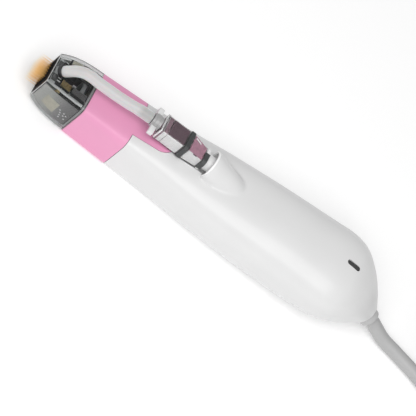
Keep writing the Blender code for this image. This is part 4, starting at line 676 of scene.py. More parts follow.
# %% Hatch, seat, neck and slot
hatch = rounded_outline(HATCH_FRONT, HATCH_REAR, HATCH_HALF, HATCH_CORNER)
boolean(shell, prism("hatch", hatch, -0.03, -DROP + WALL + GAP))
boolean(shell, rod("seat_cut", gland_seat, gland_seat + gland_axis * 0.02, 0.03))
boolean(shell, rod("neck_room", gland_seat + gland_axis * NECK_OUT, gland_seat - gland_axis * NECK_IN, NECK_RADIUS))
slot = rounded_outline(SLOT_STATION - SLOT_LONG, SLOT_STATION + SLOT_LONG, SLOT_HALF, SLOT_CORNER)
boolean(shell, prism("slot", slot, 0.01, CUT_TOP))
finished(shell, WHITE, "main_housing", body="handle")

# %% [markdown]
# A softer lip lies round the mouth of the hood, where the nozzle is pushed in, and its whiter colour is a painted
# highlight of the bright rim. A torus could serve on a flat mouth, but this one leans with the hood, so small circles
# are set along the leaning line.

# %% Lip of the mouth
# This whiter finish paints highlights: on the mouth's rim here, and later on a plate at the filter's front collar and
# a strip on its taper.
PAINTED_HIGHLIGHT_WHITE = finish("white_painted_highlight", 0.93, drift=0.01, roughness=0.4)
LIP_RADIUS, LIP_SIZE, LIP_BACK = 0.0073, 0.0006, 0.0004


def circles(line, radii, across, upward, sides):
    """Circles of points round the places of a line, each in the plane of its two directions."""
    c, s = np.cos(turns(sides, 0)), np.sin(turns(sides, 0))
    return [spot + r * (np.outer(c, a) + np.outer(s, b)) for spot, r, a, b in zip(line, radii, across, upward)]


lip_line = leaned(circle_ring(HOOD_FRONT + LIP_BACK, LIP_RADIUS, NOZZLE_RISE, sides=72), 0)
outward = (lip_line - (0, 0, NOZZLE_RISE)) * (0, 1, 1)
outward /= np.linalg.norm(outward, axis=1, keepdims=True)
lip_rings = circles(lip_line, [LIP_SIZE] * 72, outward, [(1, 0, 0)] * 72, 12)
lip = skin("mouth_lip", [*lip_rings, lip_rings[0]], closed=False)
finished(lip, PAINTED_HIGHLIGHT_WHITE, body="handle", slot="main_housing")

# %% [markdown]
# ## The smoky cartridge
#
# The tip is a thin walled cap of smoke tinted clear plastic. It starts as a crisp square at the needles and swells
# out to the sleeve's section. A low index of refraction keeps the thin walls from turning black at their edges,
# where a solid block of glass would mirror the dark inside.

# %% The cap's wall
SMOKE = finish(
    "smoky_clear_plastic", (0.80, 0.81, 0.81), drift=0.03, roughness=0.04, uneven=0.02,
    transmission=1.0, ior=1.08, coat=0.35, specular=0.3,
)
FACE_HALF, FACE_SQUARENESS, FACE_LIP, CAP_WALL = 0.0096, 26, 0.0003, 0.0012
APERTURE, CAP_FRONT_WALL = 0.0062, 0.001
# Share of the cap's length, and share of the way from the face's section to the sleeve's.
FLARE = ((0, 0), (0.21, 0.41), (0.42, 0.69), (0.63, 0.87), (0.84, 0.966), (1, 1))


def barrel_arc(share, inset, around):
    """Places on the cap's wall, that far inside it, at the given angles."""
    width, top, bottom, squareness = section(SLEEVE_FRONT)
    grown = smooth_row(FLARE, share)[1]
    high = FACE_HALF + (top - FACE_HALF) * grown - inset
    low = -FACE_HALF + (bottom + FACE_HALF) * grown + inset
    wide = FACE_HALF + (width - FACE_HALF) * grown - inset
    reach = polar(around, wide, (high - low) / 2, FACE_SQUARENESS + (squareness - FACE_SQUARENESS) * grown)
    station = np.full(len(around), share * (SLEEVE_FRONT - GAP))
    return np.stack([station, reach * np.cos(around), (high + low) / 2 + reach * np.sin(around)], axis=1)


def barrel_ring(share, inset=0.0):
    """A whole ring of the cap's wall."""
    return barrel_arc(share, inset, turns(240))


print("the cap flares through", len(FLARE), "rows")

# %% Cap shell
face = barrel_ring(0)
face_inner = face.copy()
face_inner[:, 1:] *= 1 - FACE_LIP / FACE_HALF
face[:, 0] = FACE_LIP
cap = skin("smoky_cartridge", [face_inner, face, *(barrel_ring(share) for share in np.linspace(0, 1, 30)[1:])])
inside = [barrel_ring(share, CAP_WALL) for share in np.linspace(CAP_FRONT_WALL / SLEEVE_FRONT, 1, 24)]
inside.append(inside[-1] + np.array((2 * GAP, 0, 0)))
boolean(cap, skin("cartridge_room", inside))
boolean(cap, box("aperture", (-0.002, -APERTURE, -APERTURE), (0.002, APERTURE, APERTURE)))

# %% Hole for the hose
HOSE_HOLE = 0.00325
entry = np.array((0.0052, 0, 0.0109))
lean_way = np.array((0.0067, 0, 0.0134)) - entry
lean_way /= np.linalg.norm(lean_way)
boolean(cap, rod("hose_hole", entry - lean_way * 0.0059, entry + lean_way * 0.02, HOSE_HOLE))
finished(cap, SMOKE, "cartridge_shell")

# %% [markdown]
# Behind the smoky wall lie thin grey panels, which give the cap its greys: the wall itself is nearly clear. They
# could be one inner box, but the real ones hug the wall, so each is a strip of the same section, set a little
# further in. The panel's grey deepens towards the sleeve, and a gradient along X shows that.

# %% Plates and bands that follow the wall
PANEL_GREYS = ((0.0, (0.66, 0.65, 0.63)), (0.4, (0.46, 0.46, 0.44)), (0.75, 0.24), (1.0, 0.16))
PANEL = finish(
    "grey_inner_panel", 1.0, drift=0.1, drift_size=0.004, roughness=0.4, grain=0.08,
    graded=("X", -0.102, -0.08, PANEL_GREYS),
)
PATCH = finish("ivory_patch", (0.60, 0.57, 0.47), drift=0.08, drift_size=0.002, roughness=0.5, grain=0.08)
GREY = finish("grey_satin_plastic", (0.42, 0.43, 0.43), drift=0.06, roughness=0.35, uneven=0.08, grain=0.08)
# This pale grey paints the highlights along the cap's edges.
EDGE_HIGHLIGHT = finish("pale_grey_painted_edge_highlight", (0.52, 0.53, 0.53), drift=0.1, drift_size=0.003, grain=0.05)


def liner(name, share0, share1, outer_inset, inner_inset, turn0, turn1, columns=40):
    """A thin plate that follows the cap's wall from inside, from one angle to another."""
    around = np.radians(np.linspace(turn0, turn1, columns))
    rings = []
    for share in np.linspace(share0, share1, 20):
        outside, inside = barrel_arc(share, outer_inset, around), barrel_arc(share, inner_inset, around)
        rings.append(np.concatenate([outside, inside[::-1]]))
    return skin(name, rings)


def rim(name, share0, share1, outer, inner):
    """A closed band that follows the cap's wall all the way round."""
    rows = ((share0, outer), (share1, outer), (share1, inner), (share0, inner), (share0, outer))
    return skin(name, [barrel_ring(share, inset) for share, inset in rows], closed=False)


print("behind the wall:", PANEL.name, PATCH.name, GREY.name, EDGE_HIGHLIGHT.name)

# %% Panels and rims
# Name, share of the length from and to, outer and inner inset, angle from and to, finish.
for name, share0, share1, outer, inner, turn0, turn1, material in (
    ("near_panel", 0.05, 0.93, 0.00135, 0.0016, 145, 219, PANEL),
    ("far_panel", 0.05, 0.93, 0.00135, 0.0016, -39, 35, PANEL),
    ("lower_panel", 0.05, 0.93, 0.00135, 0.0016, 222, 318, PANEL),
    ("ivory_pad", 0.25, 0.58, 0.00122, 0.00133, 169, 208, PATCH),
):
    finished(liner(name, share0, share1, outer, inner, turn0, turn1), material, slot="cartridge_frame")
finished(rim("rear_rim", 0.955, 0.995, 0.00122, 0.0016), GREY, slot="cartridge_frame")
# The face edge is a pale band that paints the highlight round the rim of the cap's face.
finished(rim("face_edge", 0.0, 0.012, -0.00004, 0.0003), EDGE_HIGHLIGHT, slot="cartridge_shell")

# %% [markdown]
# A pale strip along each upper edge paints the highlight of the cap's rounded corner, with a black seam under the near
# one and bars and strips beside it. They are narrow strips of the same kind, so a table gives each its place on the
# wall.

# %% Rails and strips
BLACK = finish("black_satin_plastic", (0.018, 0.018, 0.02), drift=0.2, roughness=0.35, uneven=0.08, grain=0.08)
GREY_LID = finish("dark_grey_lid", 0.13, drift=0.12, drift_size=0.002, roughness=0.35, grain=0.08)
BROWN_GOLD = finish("brown_gold_ribs", (0.34, 0.25, 0.11), drift=0.25, drift_size=0.001, roughness=0.35, metallic=0.3)
MATTE = finish("matte_black_guide", 0.012, drift=0.2, drift_size=0.002, roughness=0.8, grain=0.1, specular=0.15)
# Name, share of the length from and to, angle from and to, finish.
EDGE_STRIPS = (
    ("near_rail", 0.03, 0.93, 132.5, 137.5, EDGE_HIGHLIGHT),
    ("near_front_seam", 0.03, 0.30, 138.2, 140.2, MATTE),
    ("near_rear_seam", 0.37, 0.93, 137.8, 144.4, MATTE),
    ("near_gold_bit", 0.28, 0.37, 136.8, 142.0, BROWN_GOLD),
    ("near_black_bar", 0.58, 0.92, 126.5, 131.8, BLACK),
    ("near_grey_bar", 0.58, 0.92, 113.5, 126.0, GREY_LID),
    ("near_thin_line", 0.50, 0.92, 112.0, 112.8, GREY),
    ("far_rail", 0.03, 0.93, 42.5, 44.5, EDGE_HIGHLIGHT),
    ("far_plate", 0.31, 0.52, 45.5, 55.0, PATCH),
    ("far_dark_strip", 0.56, 0.92, 46.0, 54.0, BLACK),
    ("far_grey_strip", 0.56, 0.92, 54.5, 56.5, GREY),
    ("far_cross_bar", 0.265, 0.30, 45.5, 58.0, BLACK),
)
for name, share0, share1, turn0, turn1, material in EDGE_STRIPS:
    strip = liner(name, share0, share1, 0.00125, 0.0016, turn0, turn1, columns=12)
    finished(strip, material, slot="cartridge_frame")

# %% [markdown]
# The face carries a matte black plate with a square window for the needles. It paints the shade that falls round the
# needles' sockets.

# %% Painted shade round the needles
SHADE_PLATE_HALF, SHADE_PLATE_WINDOW = 0.0082, 0.0061


def soft_box(name, low, high, rounding):
    """A block whose edges are all rounded over."""
    obj = box(name, low, high)
    with editing():
        bpy.ops.mesh.bevel(offset=rounding, segments=2, affect="EDGES")
    return obj


# This black plate is painted shade round the needles' sockets.
shade_plate = soft_box("painted_shade_face_plate", (-0.00012, -SHADE_PLATE_HALF, -SHADE_PLATE_HALF), (0.0006, SHADE_PLATE_HALF, SHADE_PLATE_HALF), 0.0001)
boolean(shade_plate, box("shade_plate_window", (-0.002, -SHADE_PLATE_WINDOW, -SHADE_PLATE_WINDOW), (0.002, SHADE_PLATE_WINDOW, SHADE_PLATE_WINDOW)))
finished(shade_plate, MATTE, slot="cartridge_frame")

# %% [markdown]
# ## Small parts under the cap's top
#
# On top, under the wall, stand the needle guide's cover, a comb of pale teeth, dark bars and small spring clips. An
# Array modifier could repeat them, but their steps differ, so each is modelled once and copied to its places.


# %% Copies in one mesh
def joined(name, pieces):
    """The pieces joined into one mesh of that name."""
    activate(pieces[0])
    for piece in pieces:
        piece.select_set(True)
    bpy.ops.object.join()
    return named(name)


def row_of(name, first, shifts):
    """A piece and its copies at those shifts, joined into one mesh."""
    pieces = [first]
    for k, shift in enumerate(shifts):
        copy = twin(first, f"{name}_{k}")
        copy.data.transform(Matrix.Translation(shift))
        pieces.append(copy)
    return joined(name, pieces)


print("copies are ready")

# %% Guide cover, comb, bars and clips
CHARCOAL = finish("charcoal_plastic", (0.075, 0.077, 0.077), drift=0.15, drift_size=0.002, roughness=0.35, grain=0.08)
PALE = finish("pale_inner_sleeve", 0.86, drift=0.05, drift_size=0.002, roughness=0.4, grain=0.05)
SILVER = finish("bright_spring_steel", 0.85, drift=0.05, roughness=0.2, metallic=0.6)
# Name, low and high corner, rounding, shifts of the copies, finish, slot.
BLOCKS = (
    ("guide_cover", (0.0015, -0.0064, 0.0081), (0.0043, 0.0064, 0.0086), 0.0002, (), CHARCOAL, "cartridge_frame"),
    ("guide_lid", (0.0019, -0.0050, 0.0086), (0.0036, 0.0056, 0.0088), 0.0001, (), GREY_LID, "cartridge_frame"),
    ("dark_deck", (0.0044, -0.0083, 0.00802), (0.0133, 0.0083, 0.00822), 0.00008, (), BLACK, "cartridge_base"),
    (
        "pale_comb", (0.0045, -0.00545, 0.0087), (0.0064, -0.005, 0.0091), 0.0001,
        ((0, 0.00175, 0), (0, 0.00875, 0), (0, 0.0105, 0), (0, 0.01225, 0)), PALE, "cartridge_frame",
    ),
    (
        "far_bars", (0.0060, 0.0066, 0.0090), (0.0140, 0.0076, 0.0096), 0.00015,
        ((0.0002, -0.0016, -0.0003), (0.0075, 0.0022, 0.0008)), BLACK, "cartridge_base",
    ),
    (
        "spring_clips", (0.0072, -0.0100, 0.0092), (0.0078, -0.0088, 0.0099), 0.00012,
        ((0.0011, 0.0003, 0.0001), (0.0022, 0, 0.0002)), SILVER, "contact_strip_left",
    ),
)
for name, low, high, rounding, shifts, material, slot in BLOCKS:
    block = soft_box(name, low, high, rounding)
    if shifts:
        block = row_of(name, block, shifts)
    finished(block, material, slot=slot)

# %% [markdown]
# Two gold contact strips carry the current to the needles. Each is a block with five ribs, and the ribs are separate
# small blocks, because a bump texture would stay flat at the strip's edge.

# %% Contact strips
RIB_COUNT, RIB_FIELD, RIB_WIDTH, RIB_MARGIN = 5, 0.0036, 0.0005, 0.0001
for side, mirrored in (("left", -1), ("right", 1)):
    y0, y1 = sorted((mirrored * 0.0066, mirrored * 0.0030))
    pieces = [soft_box(f"rib_{side}", (0.0075, y0, 0.0083), (0.0084, y1, 0.0096), 0.00015)]
    for k in range(RIB_COUNT):
        near = y0 + RIB_FIELD * k / RIB_COUNT + RIB_MARGIN
        rib = soft_box(f"rib_{side}_{k}", (0.0083, near, 0.0083), (0.013, near + RIB_WIDTH, 0.0093), 0.00012)
        pieces.append(rib)
    finished(joined(f"rib_{side}", pieces), BROWN_GOLD, f"contact_strip_{side}")

# %% [markdown]
# The hose enters through a black grommet, and small pale pips stand on the near panel. Both are round, so each is a
# profile turned about its axis, as on a lathe.

# %% Grommet and pips
# Radius and reach along the axis.
GROMMET = ((0.003, -0.0016), (0.0036, -0.0016), (0.0036, 0.0002), (0.0034, 0.0004), (0.0031, 0.0004), (0.003, -0.0016))
PIP = ((0.0, 0.00012), (0.0003, 0.0001), (0.00045, 0.0), (0.00045, -0.0001), (0.0, -0.0001))
# Share of the cap's length, and angle.
PIP_PLACES = ((0.66, 182), (0.7, 190), (0.72, 198), (0.78, 184), (0.8, 193), (0.85, 188), (0.86, 201), (0.74, 205))


def turned(name, profile, start, axis, sides=64):
    """A profile turned about a line through a point in the device's own frame."""
    start, axis = Vector(np.array(start) + ORIGIN), Vector(axis).normalized()
    around = 2 * math.pi * np.arange(sides + 1) / sides
    rows = [np.stack([r * np.cos(around), r * np.sin(around), np.full(sides + 1, z)], axis=1) for r, z in profile]
    obj = laid_grid(name, np.concatenate(rows), sides, len(profile), closed=False)
    turn = Vector((0, 0, 1)).rotation_difference(axis).to_matrix().to_4x4()
    obj.data.transform(Matrix.Translation(start) @ turn)
    return obj


grommet = turned("hose_grommet", GROMMET, entry + lean_way * GAP, lean_way)
finished(grommet, BLACK, slot="cartridge_base")
pips = []
for k, (share, turn) in enumerate(PIP_PLACES):
    spot = barrel_arc(share, 0.00133, np.radians([turn]))[0]
    pips.append(turned(f"pip_{k}", PIP, spot, (0, -1, 0), sides=12))
finished(joined("pale_pips", pips), PALE, slot="cartridge_frame")

# %% [markdown]
# ## Needles
#
# Forty-nine insulated gold needles stand in a square grid on their header. A particle system could scatter them, but
# the grid is exact, so one needle is turned to its taper and copied. Their gold deepens towards the root.

# %% Needle block
NEEDLE_GOLDS = ((0.0, (1.0, 0.80, 0.48)), (0.4, (0.98, 0.60, 0.22)), (1.0, (0.56, 0.28, 0.07)))
NEEDLES = finish(
    "gold_needles", 1.0, drift=0.06, drift_size=0.002, roughness=0.35, metallic=0.2, grain=0.03,
    graded=("X", -0.11, -0.102, NEEDLE_GOLDS),
)
PITCH = 0.00175
STEPS = range(-3, 4)
NEEDLE = (
    (0.0, -0.008), (0.00003, -0.00795), (0.00009, -0.0068), (0.00015, -0.005), (0.00015, 0.0063),
    (0.00052, 0.0063), (0.00052, 0.0087), (0.0, 0.0087),
)


def over_grid(name, piece):
    """A piece at each of the 49 places of the grid, joined into one mesh."""
    places = [(0, PITCH * column, PITCH * row) for row in STEPS for column in STEPS]
    piece.data.transform(Matrix.Translation(places[0]))
    return row_of(name, piece, [tuple(np.subtract(place, places[0])) for place in places[1:]])


header = box("needle_block", (0.0084, -0.006, -0.006), (0.009, 0.006, 0.006))
needles = over_grid("needles", turned("needle", NEEDLE, (0, 0, 0), (1, 0, 0), sides=10))
finished(joined("needle_block", [header, needles]), NEEDLES, "needle_array", body="needle_unit", angle=30)

# %% [markdown]
# ## Suction hose
#
# A soft milky hose bends out of the cartridge and runs back to the filter. A bevelled curve would do for a plain
# tube. This one has a bore and swells where it is stretched over the connector's spigot, so rings are swept along a
# smooth curve through a few measured places. A painted sheen lightens it where it is seen edge on, and a painted
# shadow darkens its end towards the connector.

# %% Rings along a curve
# Station and height.
HOSE_ROUTE = (
    (0.0052, 0.0109), (0.0067, 0.0134), (0.0090, 0.0170), (0.0122, 0.0200), (0.0165, 0.0211),
    (0.0230, 0.0208), (0.0330, 0.0211), (0.0400, 0.0218), (0.0468, 0.0229), (0.0532, 0.0233),
)
SPAN_STEPS = 24


def curve_through(points, count):
    """Evenly spaced places on a smooth curve through the points."""
    nodes = np.array(points, dtype=float)
    padded = np.vstack([2 * nodes[0] - nodes[1], nodes, 2 * nodes[-1] - nodes[-2]])
    fine = []
    for i in range(1, len(padded) - 2):
        before, here, after, beyond = padded[i - 1 : i + 3]
        for t in np.linspace(0, 1, SPAN_STEPS, endpoint=False):
            bend = (2 * before - 5 * here + 4 * after - beyond) * t**2
            turn = (3 * here - before - 3 * after + beyond) * t**3
            fine.append(0.5 * (2 * here + (after - before) * t + bend + turn))
    fine = np.array([*fine, nodes[-1]])
    reach = np.concatenate([[0], np.cumsum(np.linalg.norm(np.diff(fine, axis=0), axis=1))])
    spots = np.linspace(0, reach[-1], count)
    return np.array([[np.interp(spot, reach, fine[:, k]) for k in range(nodes.shape[1])] for spot in spots])


def swept(line, radii, sides=40):
    """Rings square to a line in the plane of symmetry."""
    way = np.gradient(line, axis=0)
    way /= np.linalg.norm(way, axis=1, keepdims=True)
    upward = np.column_stack([-way[:, 1], np.zeros(len(way)), way[:, 0]])
    return circles(np.insert(line, 1, 0, axis=1), radii, [(0, 1, 0)] * len(line), upward, sides)


hose_line = curve_through(HOSE_ROUTE, 90)
print("hose length in mm", round(1000 * np.linalg.norm(np.diff(hose_line, axis=0), axis=1).sum(), 1))

# %% Hose
# The grade along X darkens the hose's end towards the connector, a painted shadow, and the edge colour is a painted
# sheen.
HOSE = finish(
    "milky_silicone", 1.0, drift=0.02, roughness=0.35, grain=0.03, subsurface=0.15,
    graded=("X", -0.0575, -0.0545, ((0.0, (0.56, 0.55, 0.55)), (1.0, 0.40))), edge=0.97,
)
HOSE_RADIUS, HOSE_BORE, SWELL, SWELL_FROM, SWELL_LENGTH = 0.00295, 0.00195, 0.0002, 0.0435, 0.003
swell = np.clip((hose_line[:, 0] - SWELL_FROM) / SWELL_LENGTH, 0, 1)
hose = skin("milky_hose", swept(hose_line, HOSE_RADIUS + SWELL * swell * swell * (3 - 2 * swell)))
longer = np.vstack([2 * hose_line[0] - hose_line[1], hose_line, 2 * hose_line[-1] - hose_line[-2]])
boolean(hose, skin("hose_room", swept(longer, np.full(len(longer), HOSE_BORE), sides=24)))
finished(hose, HOSE, "suction_hose")

# %% [markdown]
# ## Guide cones
#
# Each needle leaves the cap through a small black cone of the guide, which stays with the cap when the needles draw
# back. One cone is turned and copied over the grid.

# %% Guide cones
CONE = (
    (0.00026, -0.0009), (0.0003, -0.0009), (0.0005, 0.0002), (0.00055, 0.0013), (0.00026, 0.0013), (0.00026, -0.0009)
)
cones = over_grid("guide_cones", turned("guide_cone", CONE, (0, 0, 0), (1, 0, 0), sides=16))
finished(cones, MATTE, slot="needle_guide")

# %% [markdown]
# ## Hose connector
#
# The hose ends on a grey translucent barrel with two white wings, by which it is twisted onto the filter. The barrel
# is round and so is turned. The wings are blocks with softened edges.

# %% Connector
BARREL = finish("grey_translucent_plastic", 0.46, drift=0.03, roughness=0.25, transmission=0.25, coat=0.4)
# Radius and station.
CONNECTOR = (
    (0.0, 0.0475), (0.0014, 0.0475), (0.0015, 0.0478), (0.0015, 0.0535), (0.0036, 0.0535), (0.0039, 0.0538),
    (0.0039, 0.0547), (0.0042, 0.0549), (0.0042, 0.0568), (0.0039, 0.057), (0.0039, 0.0584), (0.0036, 0.0587),
    (0.0, 0.0587),
)
WING_FRONT, WING_REAR, WING_ROOT, WING_TIP = 0.0543, 0.0572, 0.0036, 0.0082
connector = turned("connector_barrel", CONNECTOR, (0, 0, FILTER_RISE), (1, 0, 0))
finished(connector, BARREL, "hose_connector")
for side, mirrored in (("near", -1), ("far", 1)):
    y0, y1 = sorted((mirrored * WING_TIP, mirrored * WING_ROOT))
    low, high = (WING_FRONT, y0, FILTER_RISE - 0.0016), (WING_REAR, y1, FILTER_RISE + 0.0012)
    finished(soft_box(f"{side}_wing", low, high, 0.0002), WHITE, slot="hose_connector")

# %% [markdown]
# ## In-line filter
#
# The filter's two clear housings are boxes with cut corners, hollow and open at their ends. A turned form would lose
# the flat top that the photograph shows, so each is a skin over eight-sided rings that runs out along the outside
# and back along the inside.

# %% Clear housings
CLEAR = finish("clear_plastic", 0.95, drift=0.01, roughness=0.03, uneven=0.01, transmission=1.0, ior=1.12, coat=0.8)
BOX_RISE, BOX_WALL, OUTER_CUT, INNER_CUT = 0.0227, 0.0007, 0.0009, 0.0006
# Station, half width, half height, rise.
FRONT_ROWS = (
    (0.0590, 0.0053, 0.0050, BOX_RISE),
    (0.0592, 0.0058, 0.0054, BOX_RISE),
    (0.0604, 0.0058, 0.0054, BOX_RISE),
    (0.0607, 0.0056, 0.0052, BOX_RISE),
    (0.0734, 0.0056, 0.0052, BOX_RISE),
)
REAR_ROWS = ((0.0766, 0.0056, 0.0052, BOX_RISE), (0.0856, 0.0046, 0.0042, NOZZLE_RISE))


def box_ring(station, half_y, half_z, rise, cut=OUTER_CUT):
    """A box section with cut corners, two points to a corner edge."""
    corners = [(half_y, half_z - cut), (half_y - cut, half_z), (cut - half_y, half_z), (-half_y, half_z - cut)]
    corners += [(-y, -z) for y, z in corners]
    return np.array([(station, y, rise + z) for y, z in corners])


def housing(name, rows):
    """A hollow open ended housing through its rows."""
    rings = [box_ring(*row) for row in rows]
    for x, half_y, half_z, rise in (rows[-1], rows[0]):
        rings.append(box_ring(x, half_y - BOX_WALL, half_z - BOX_WALL, rise, INNER_CUT))
    return skin(name, [*rings, rings[0]], closed=False)


finished(housing("filter_front_housing", FRONT_ROWS), CLEAR, "filter_body_front", angle=20)
finished(housing("filter_rear_housing", REAR_ROWS), CLEAR, "filter_body_rear", angle=20)

# %% [markdown]
# A dark band clamps the two housings over the membrane, and a frosted one holds the nozzle, under a bent dark clip.

# %% Bands and clip
FROSTED = finish("frosted_clear_plastic", 0.94, drift=0.02, roughness=0.25, transmission=0.25, ior=1.3, coat=0.4)
BAND = finish("dark_grey_rubber", (0.05, 0.053, 0.053), drift=0.12, roughness=0.42, uneven=0.08, grain=0.1)
BAND_EDGE, BAND_CUT = 0.0003, 0.0012
# Aside and height from the nozzle's axis, and the stations.
CLIP_BEND = (
    (0.0009, 0.0050), (-0.0039, 0.0050), (-0.0054, 0.0036), (-0.0054, -0.0018),
    (-0.0049, -0.0018), (-0.0049, 0.0034), (-0.0037, 0.0045), (0.0009, 0.0045),
)
CLIP_STATIONS = (0.0856, 0.0869, 0.0881)
for name, x0, x1, half_y, half_z, rise, material in (
    ("filter_band", 0.0737, 0.0763, 0.0061, 0.0057, BOX_RISE, BAND),
    ("nozzle_band", 0.0859, 0.0879, 0.0050, 0.0046, NOZZLE_RISE, FROSTED),
):
    rows = [(x0, half_y - BAND_EDGE, half_z - BAND_EDGE), (x0 + BAND_EDGE, half_y, half_z)]
    rows += [(x1 - BAND_EDGE, half_y, half_z), (x1, half_y - BAND_EDGE, half_z - BAND_EDGE)]
    band = skin(f"{name}_clamp", [box_ring(x, y, z, rise, BAND_CUT) for x, y, z in rows])
    finished(band, material, name, angle=20)
clip_rings = [np.array([(x, y, NOZZLE_RISE + z) for y, z in CLIP_BEND]) for x in CLIP_STATIONS]
finished(skin("nozzle_clip", clip_rings), BAND, slot="nozzle_band", angle=20)

# %% [markdown]
# Dark mauve plates under the housing's top paint the reflection of the pink sleeve, and a pale sleeve shows through
# its sides, so the filter reads dark above and light beside; white plates at the front collar are painted highlights.
# The colour could sit in the clear material itself, but it would then tint both walls at once. Thin plates just inside
# the wall keep each side its own colour.

# %% Tools for the linings
# MAUVE, MAUVE_LIGHT and ROSE paint the pink sleeve's reflection in the clear housings; MAUVE also colours the dark
# mark on the taper.
MAUVE = finish("dark_mauve_painted_reflection_and_mark", (0.115, 0.07, 0.088), drift=0.1, drift_size=0.003, grain=0.03)
MAUVE_LIGHT = finish("light_mauve_painted_reflection", (0.26, 0.165, 0.2), drift=0.1, drift_size=0.002, grain=0.03)
ROSE = finish("rose_painted_reflection", (0.47, 0.24, 0.32), drift=0.12, drift_size=0.002, grain=0.03)
LINING, LINING_INSET = 0.0002, 0.0008
SIDES = ("top", "near", "bottom", "far")


def lining(name, rows):
    """A thin plate through rows of station and its two edge points (y, z)."""
    rings = []
    for x, (y0, z0), (y1, z1) in rows:
        across = np.array((y1 - y0, z1 - z0))
        inward = np.array((across[1], -across[0])) / np.linalg.norm(across) * LINING
        a, b = np.array((y0, z0)), np.array((y1, z1))
        rings.append(np.array([(x, *a), (x, *b), (x, *(b + inward)), (x, *(a + inward))]))
    return skin(name, rings)


def row_at(x, first, last):
    """The row of a housing at a station between two of its rows."""
    share = (x - first[0]) / (last[0] - first[0])
    return (x, *(a + (b - a) * share for a, b in zip(first[1:], last[1:])))


def four_sides(x, half_y, half_z, rise):
    """The edge points of the top, near, bottom and far plates inside a housing at one station."""
    y, z = half_y - LINING_INSET, half_z - LINING_INSET
    corners = ((y, rise + z), (-y, rise + z), (-y, rise - z), (y, rise - z))
    return [(x, corners[k], corners[(k + 1) % 4]) for k in range(4)]


def line_housing(suffix, x0, x1, housing_rows, materials, slot):
    """Four thin plates inside a housing, from one station to another."""
    ends = [four_sides(*row_at(x, *housing_rows)) for x in (x0, x1)]
    for side, start_row, end_row, material in zip(SIDES, *ends, materials):
        finished(lining(f"{side}_{suffix}", [start_row, end_row]), material, slot=slot, angle=20)


print("painted_reflections:", MAUVE.name, MAUVE_LIGHT.name, ROSE.name)

# %% Linings
# Station from and to, and the finishes of the top, near, bottom and far plates.
# The mauve top plates and the rose plate of the taper are painted reflection, and the white near plate at the front
# collar is a painted highlight.
for x0, x1, materials in (
    (0.0634, 0.0731, (MAUVE, PALE, PALE, PALE)),
    (0.0609, 0.0631, (MAUVE_LIGHT, PALE, PALE, PALE)),
    (0.0601, 0.0607, (MAUVE, MAUVE_LIGHT, PALE, PALE)),
    (0.0592, 0.0599, (PALE, PAINTED_HIGHLIGHT_WHITE, PALE, PALE)),
):
    line_housing(f"lining_{round(x0 * 1e4)}", x0, x1, FRONT_ROWS[3:], materials, "filter_body_front")
line_housing("taper_lining", 0.0769, 0.0853, REAR_ROWS, (ROSE, PALE, PALE, PALE), "filter_body_rear")

# %% [markdown]
# Last come a white strip on the taper, which is a painted highlight, a dark mark, and the fine ribs of the inner
# sleeve. They are thin beads along short lines, cheaper than carving the plates.

# %% Strip, mark and ribs
GLINT = ((0.0776, (0.0041, 0.0271), (0.0033, 0.0271)), (0.0813, (0.0034, 0.0262), (0.0026, 0.0262)))
MARK_LINE = ((0.0798, -0.0045, 0.0262), (0.0809, -0.0044, 0.0259), (0.0820, -0.0043, 0.0257))
MARK_RADIUS, RIB_RADIUS, LINE_RADIUS = 0.0003, 0.00016, 0.0002
FINE_RIBS, RIB_DROP, RIB_PITCH, RIB_ASIDE = 7, 0.0034, 0.0011, 0.00485


def bead(name, points, radius, sides=12):
    """A thin round bead along points in the device's own frame."""
    line = np.asarray(points, dtype=float)
    way = np.gradient(line, axis=0)
    way /= np.linalg.norm(way, axis=1, keepdims=True)
    side = np.cross(way, (0.0, 0.6, 0.8))
    side /= np.linalg.norm(side, axis=1, keepdims=True)
    return skin(name, circles(line, [radius] * len(line), side, np.cross(side, way), sides))


# The white strip paints a highlight on the taper's top.
finished(lining("painted_highlight_strip", GLINT), PAINTED_HIGHLIGHT_WHITE, slot="filter_body_rear", angle=20)
finished(bead("dark_mark", MARK_LINE, MARK_RADIUS), MAUVE, slot="filter_body_rear")
ribs = []
for k in range(FINE_RIBS):
    z = BOX_RISE - RIB_DROP + RIB_PITCH * k
    for y in (-RIB_ASIDE, RIB_ASIDE):
        line = [(x, y, z) for x in np.linspace(0.061, 0.0729, 4)]
        ribs.append(bead(f"fine_rib_{k}_{y > 0}", line, RIB_RADIUS, sides=8))
for k, x in enumerate((0.0597, 0.0606)):
    line = [(x, y, BOX_RISE + 0.0045) for y in np.linspace(-0.0045, 0.0045, 4)]
    ribs.append(bead(f"collar_line_{k}", line, LINE_RADIUS, sides=8))
finished(joined("fine_ribs", ribs), GREY, slot="filter_body_front")

# %% [markdown]
# ## Cord collar
#
# The collar is a pale grey ring with a rounded outer edge and a neck through the wall, so it is turned about the
# cord's own axis.

# %% Collar
COLLAR = finish("pale_grey_collar", 0.50, drift=0.03, roughness=0.4, grain=0.06)
COLLAR_RADIUS, COLLAR_HEIGHT, COLLAR_ROUND, COLLAR_EDGE, COLLAR_FOOT = 0.0054, 0.0043, 0.0009, 0.0004, 0.0049
NECK = 0.0038
arc = []
for a in np.linspace(0, math.pi / 2, 9):
    out, along = COLLAR_ROUND * math.sin(a), COLLAR_ROUND * math.cos(a)
    arc.append((COLLAR_RADIUS - COLLAR_ROUND + out, COLLAR_HEIGHT - COLLAR_ROUND + along))
foot = [(COLLAR_RADIUS, COLLAR_EDGE), (COLLAR_FOOT, 0), (NECK, 0), (NECK, -NECK), (0, -NECK)]
profile = [(0, COLLAR_HEIGHT), *arc, *foot]
collar = turned("cord_collar", profile, gland_seat + gland_axis * GAP, gland_axis)
finished(collar, COLLAR, "cord_gland", body="handle")

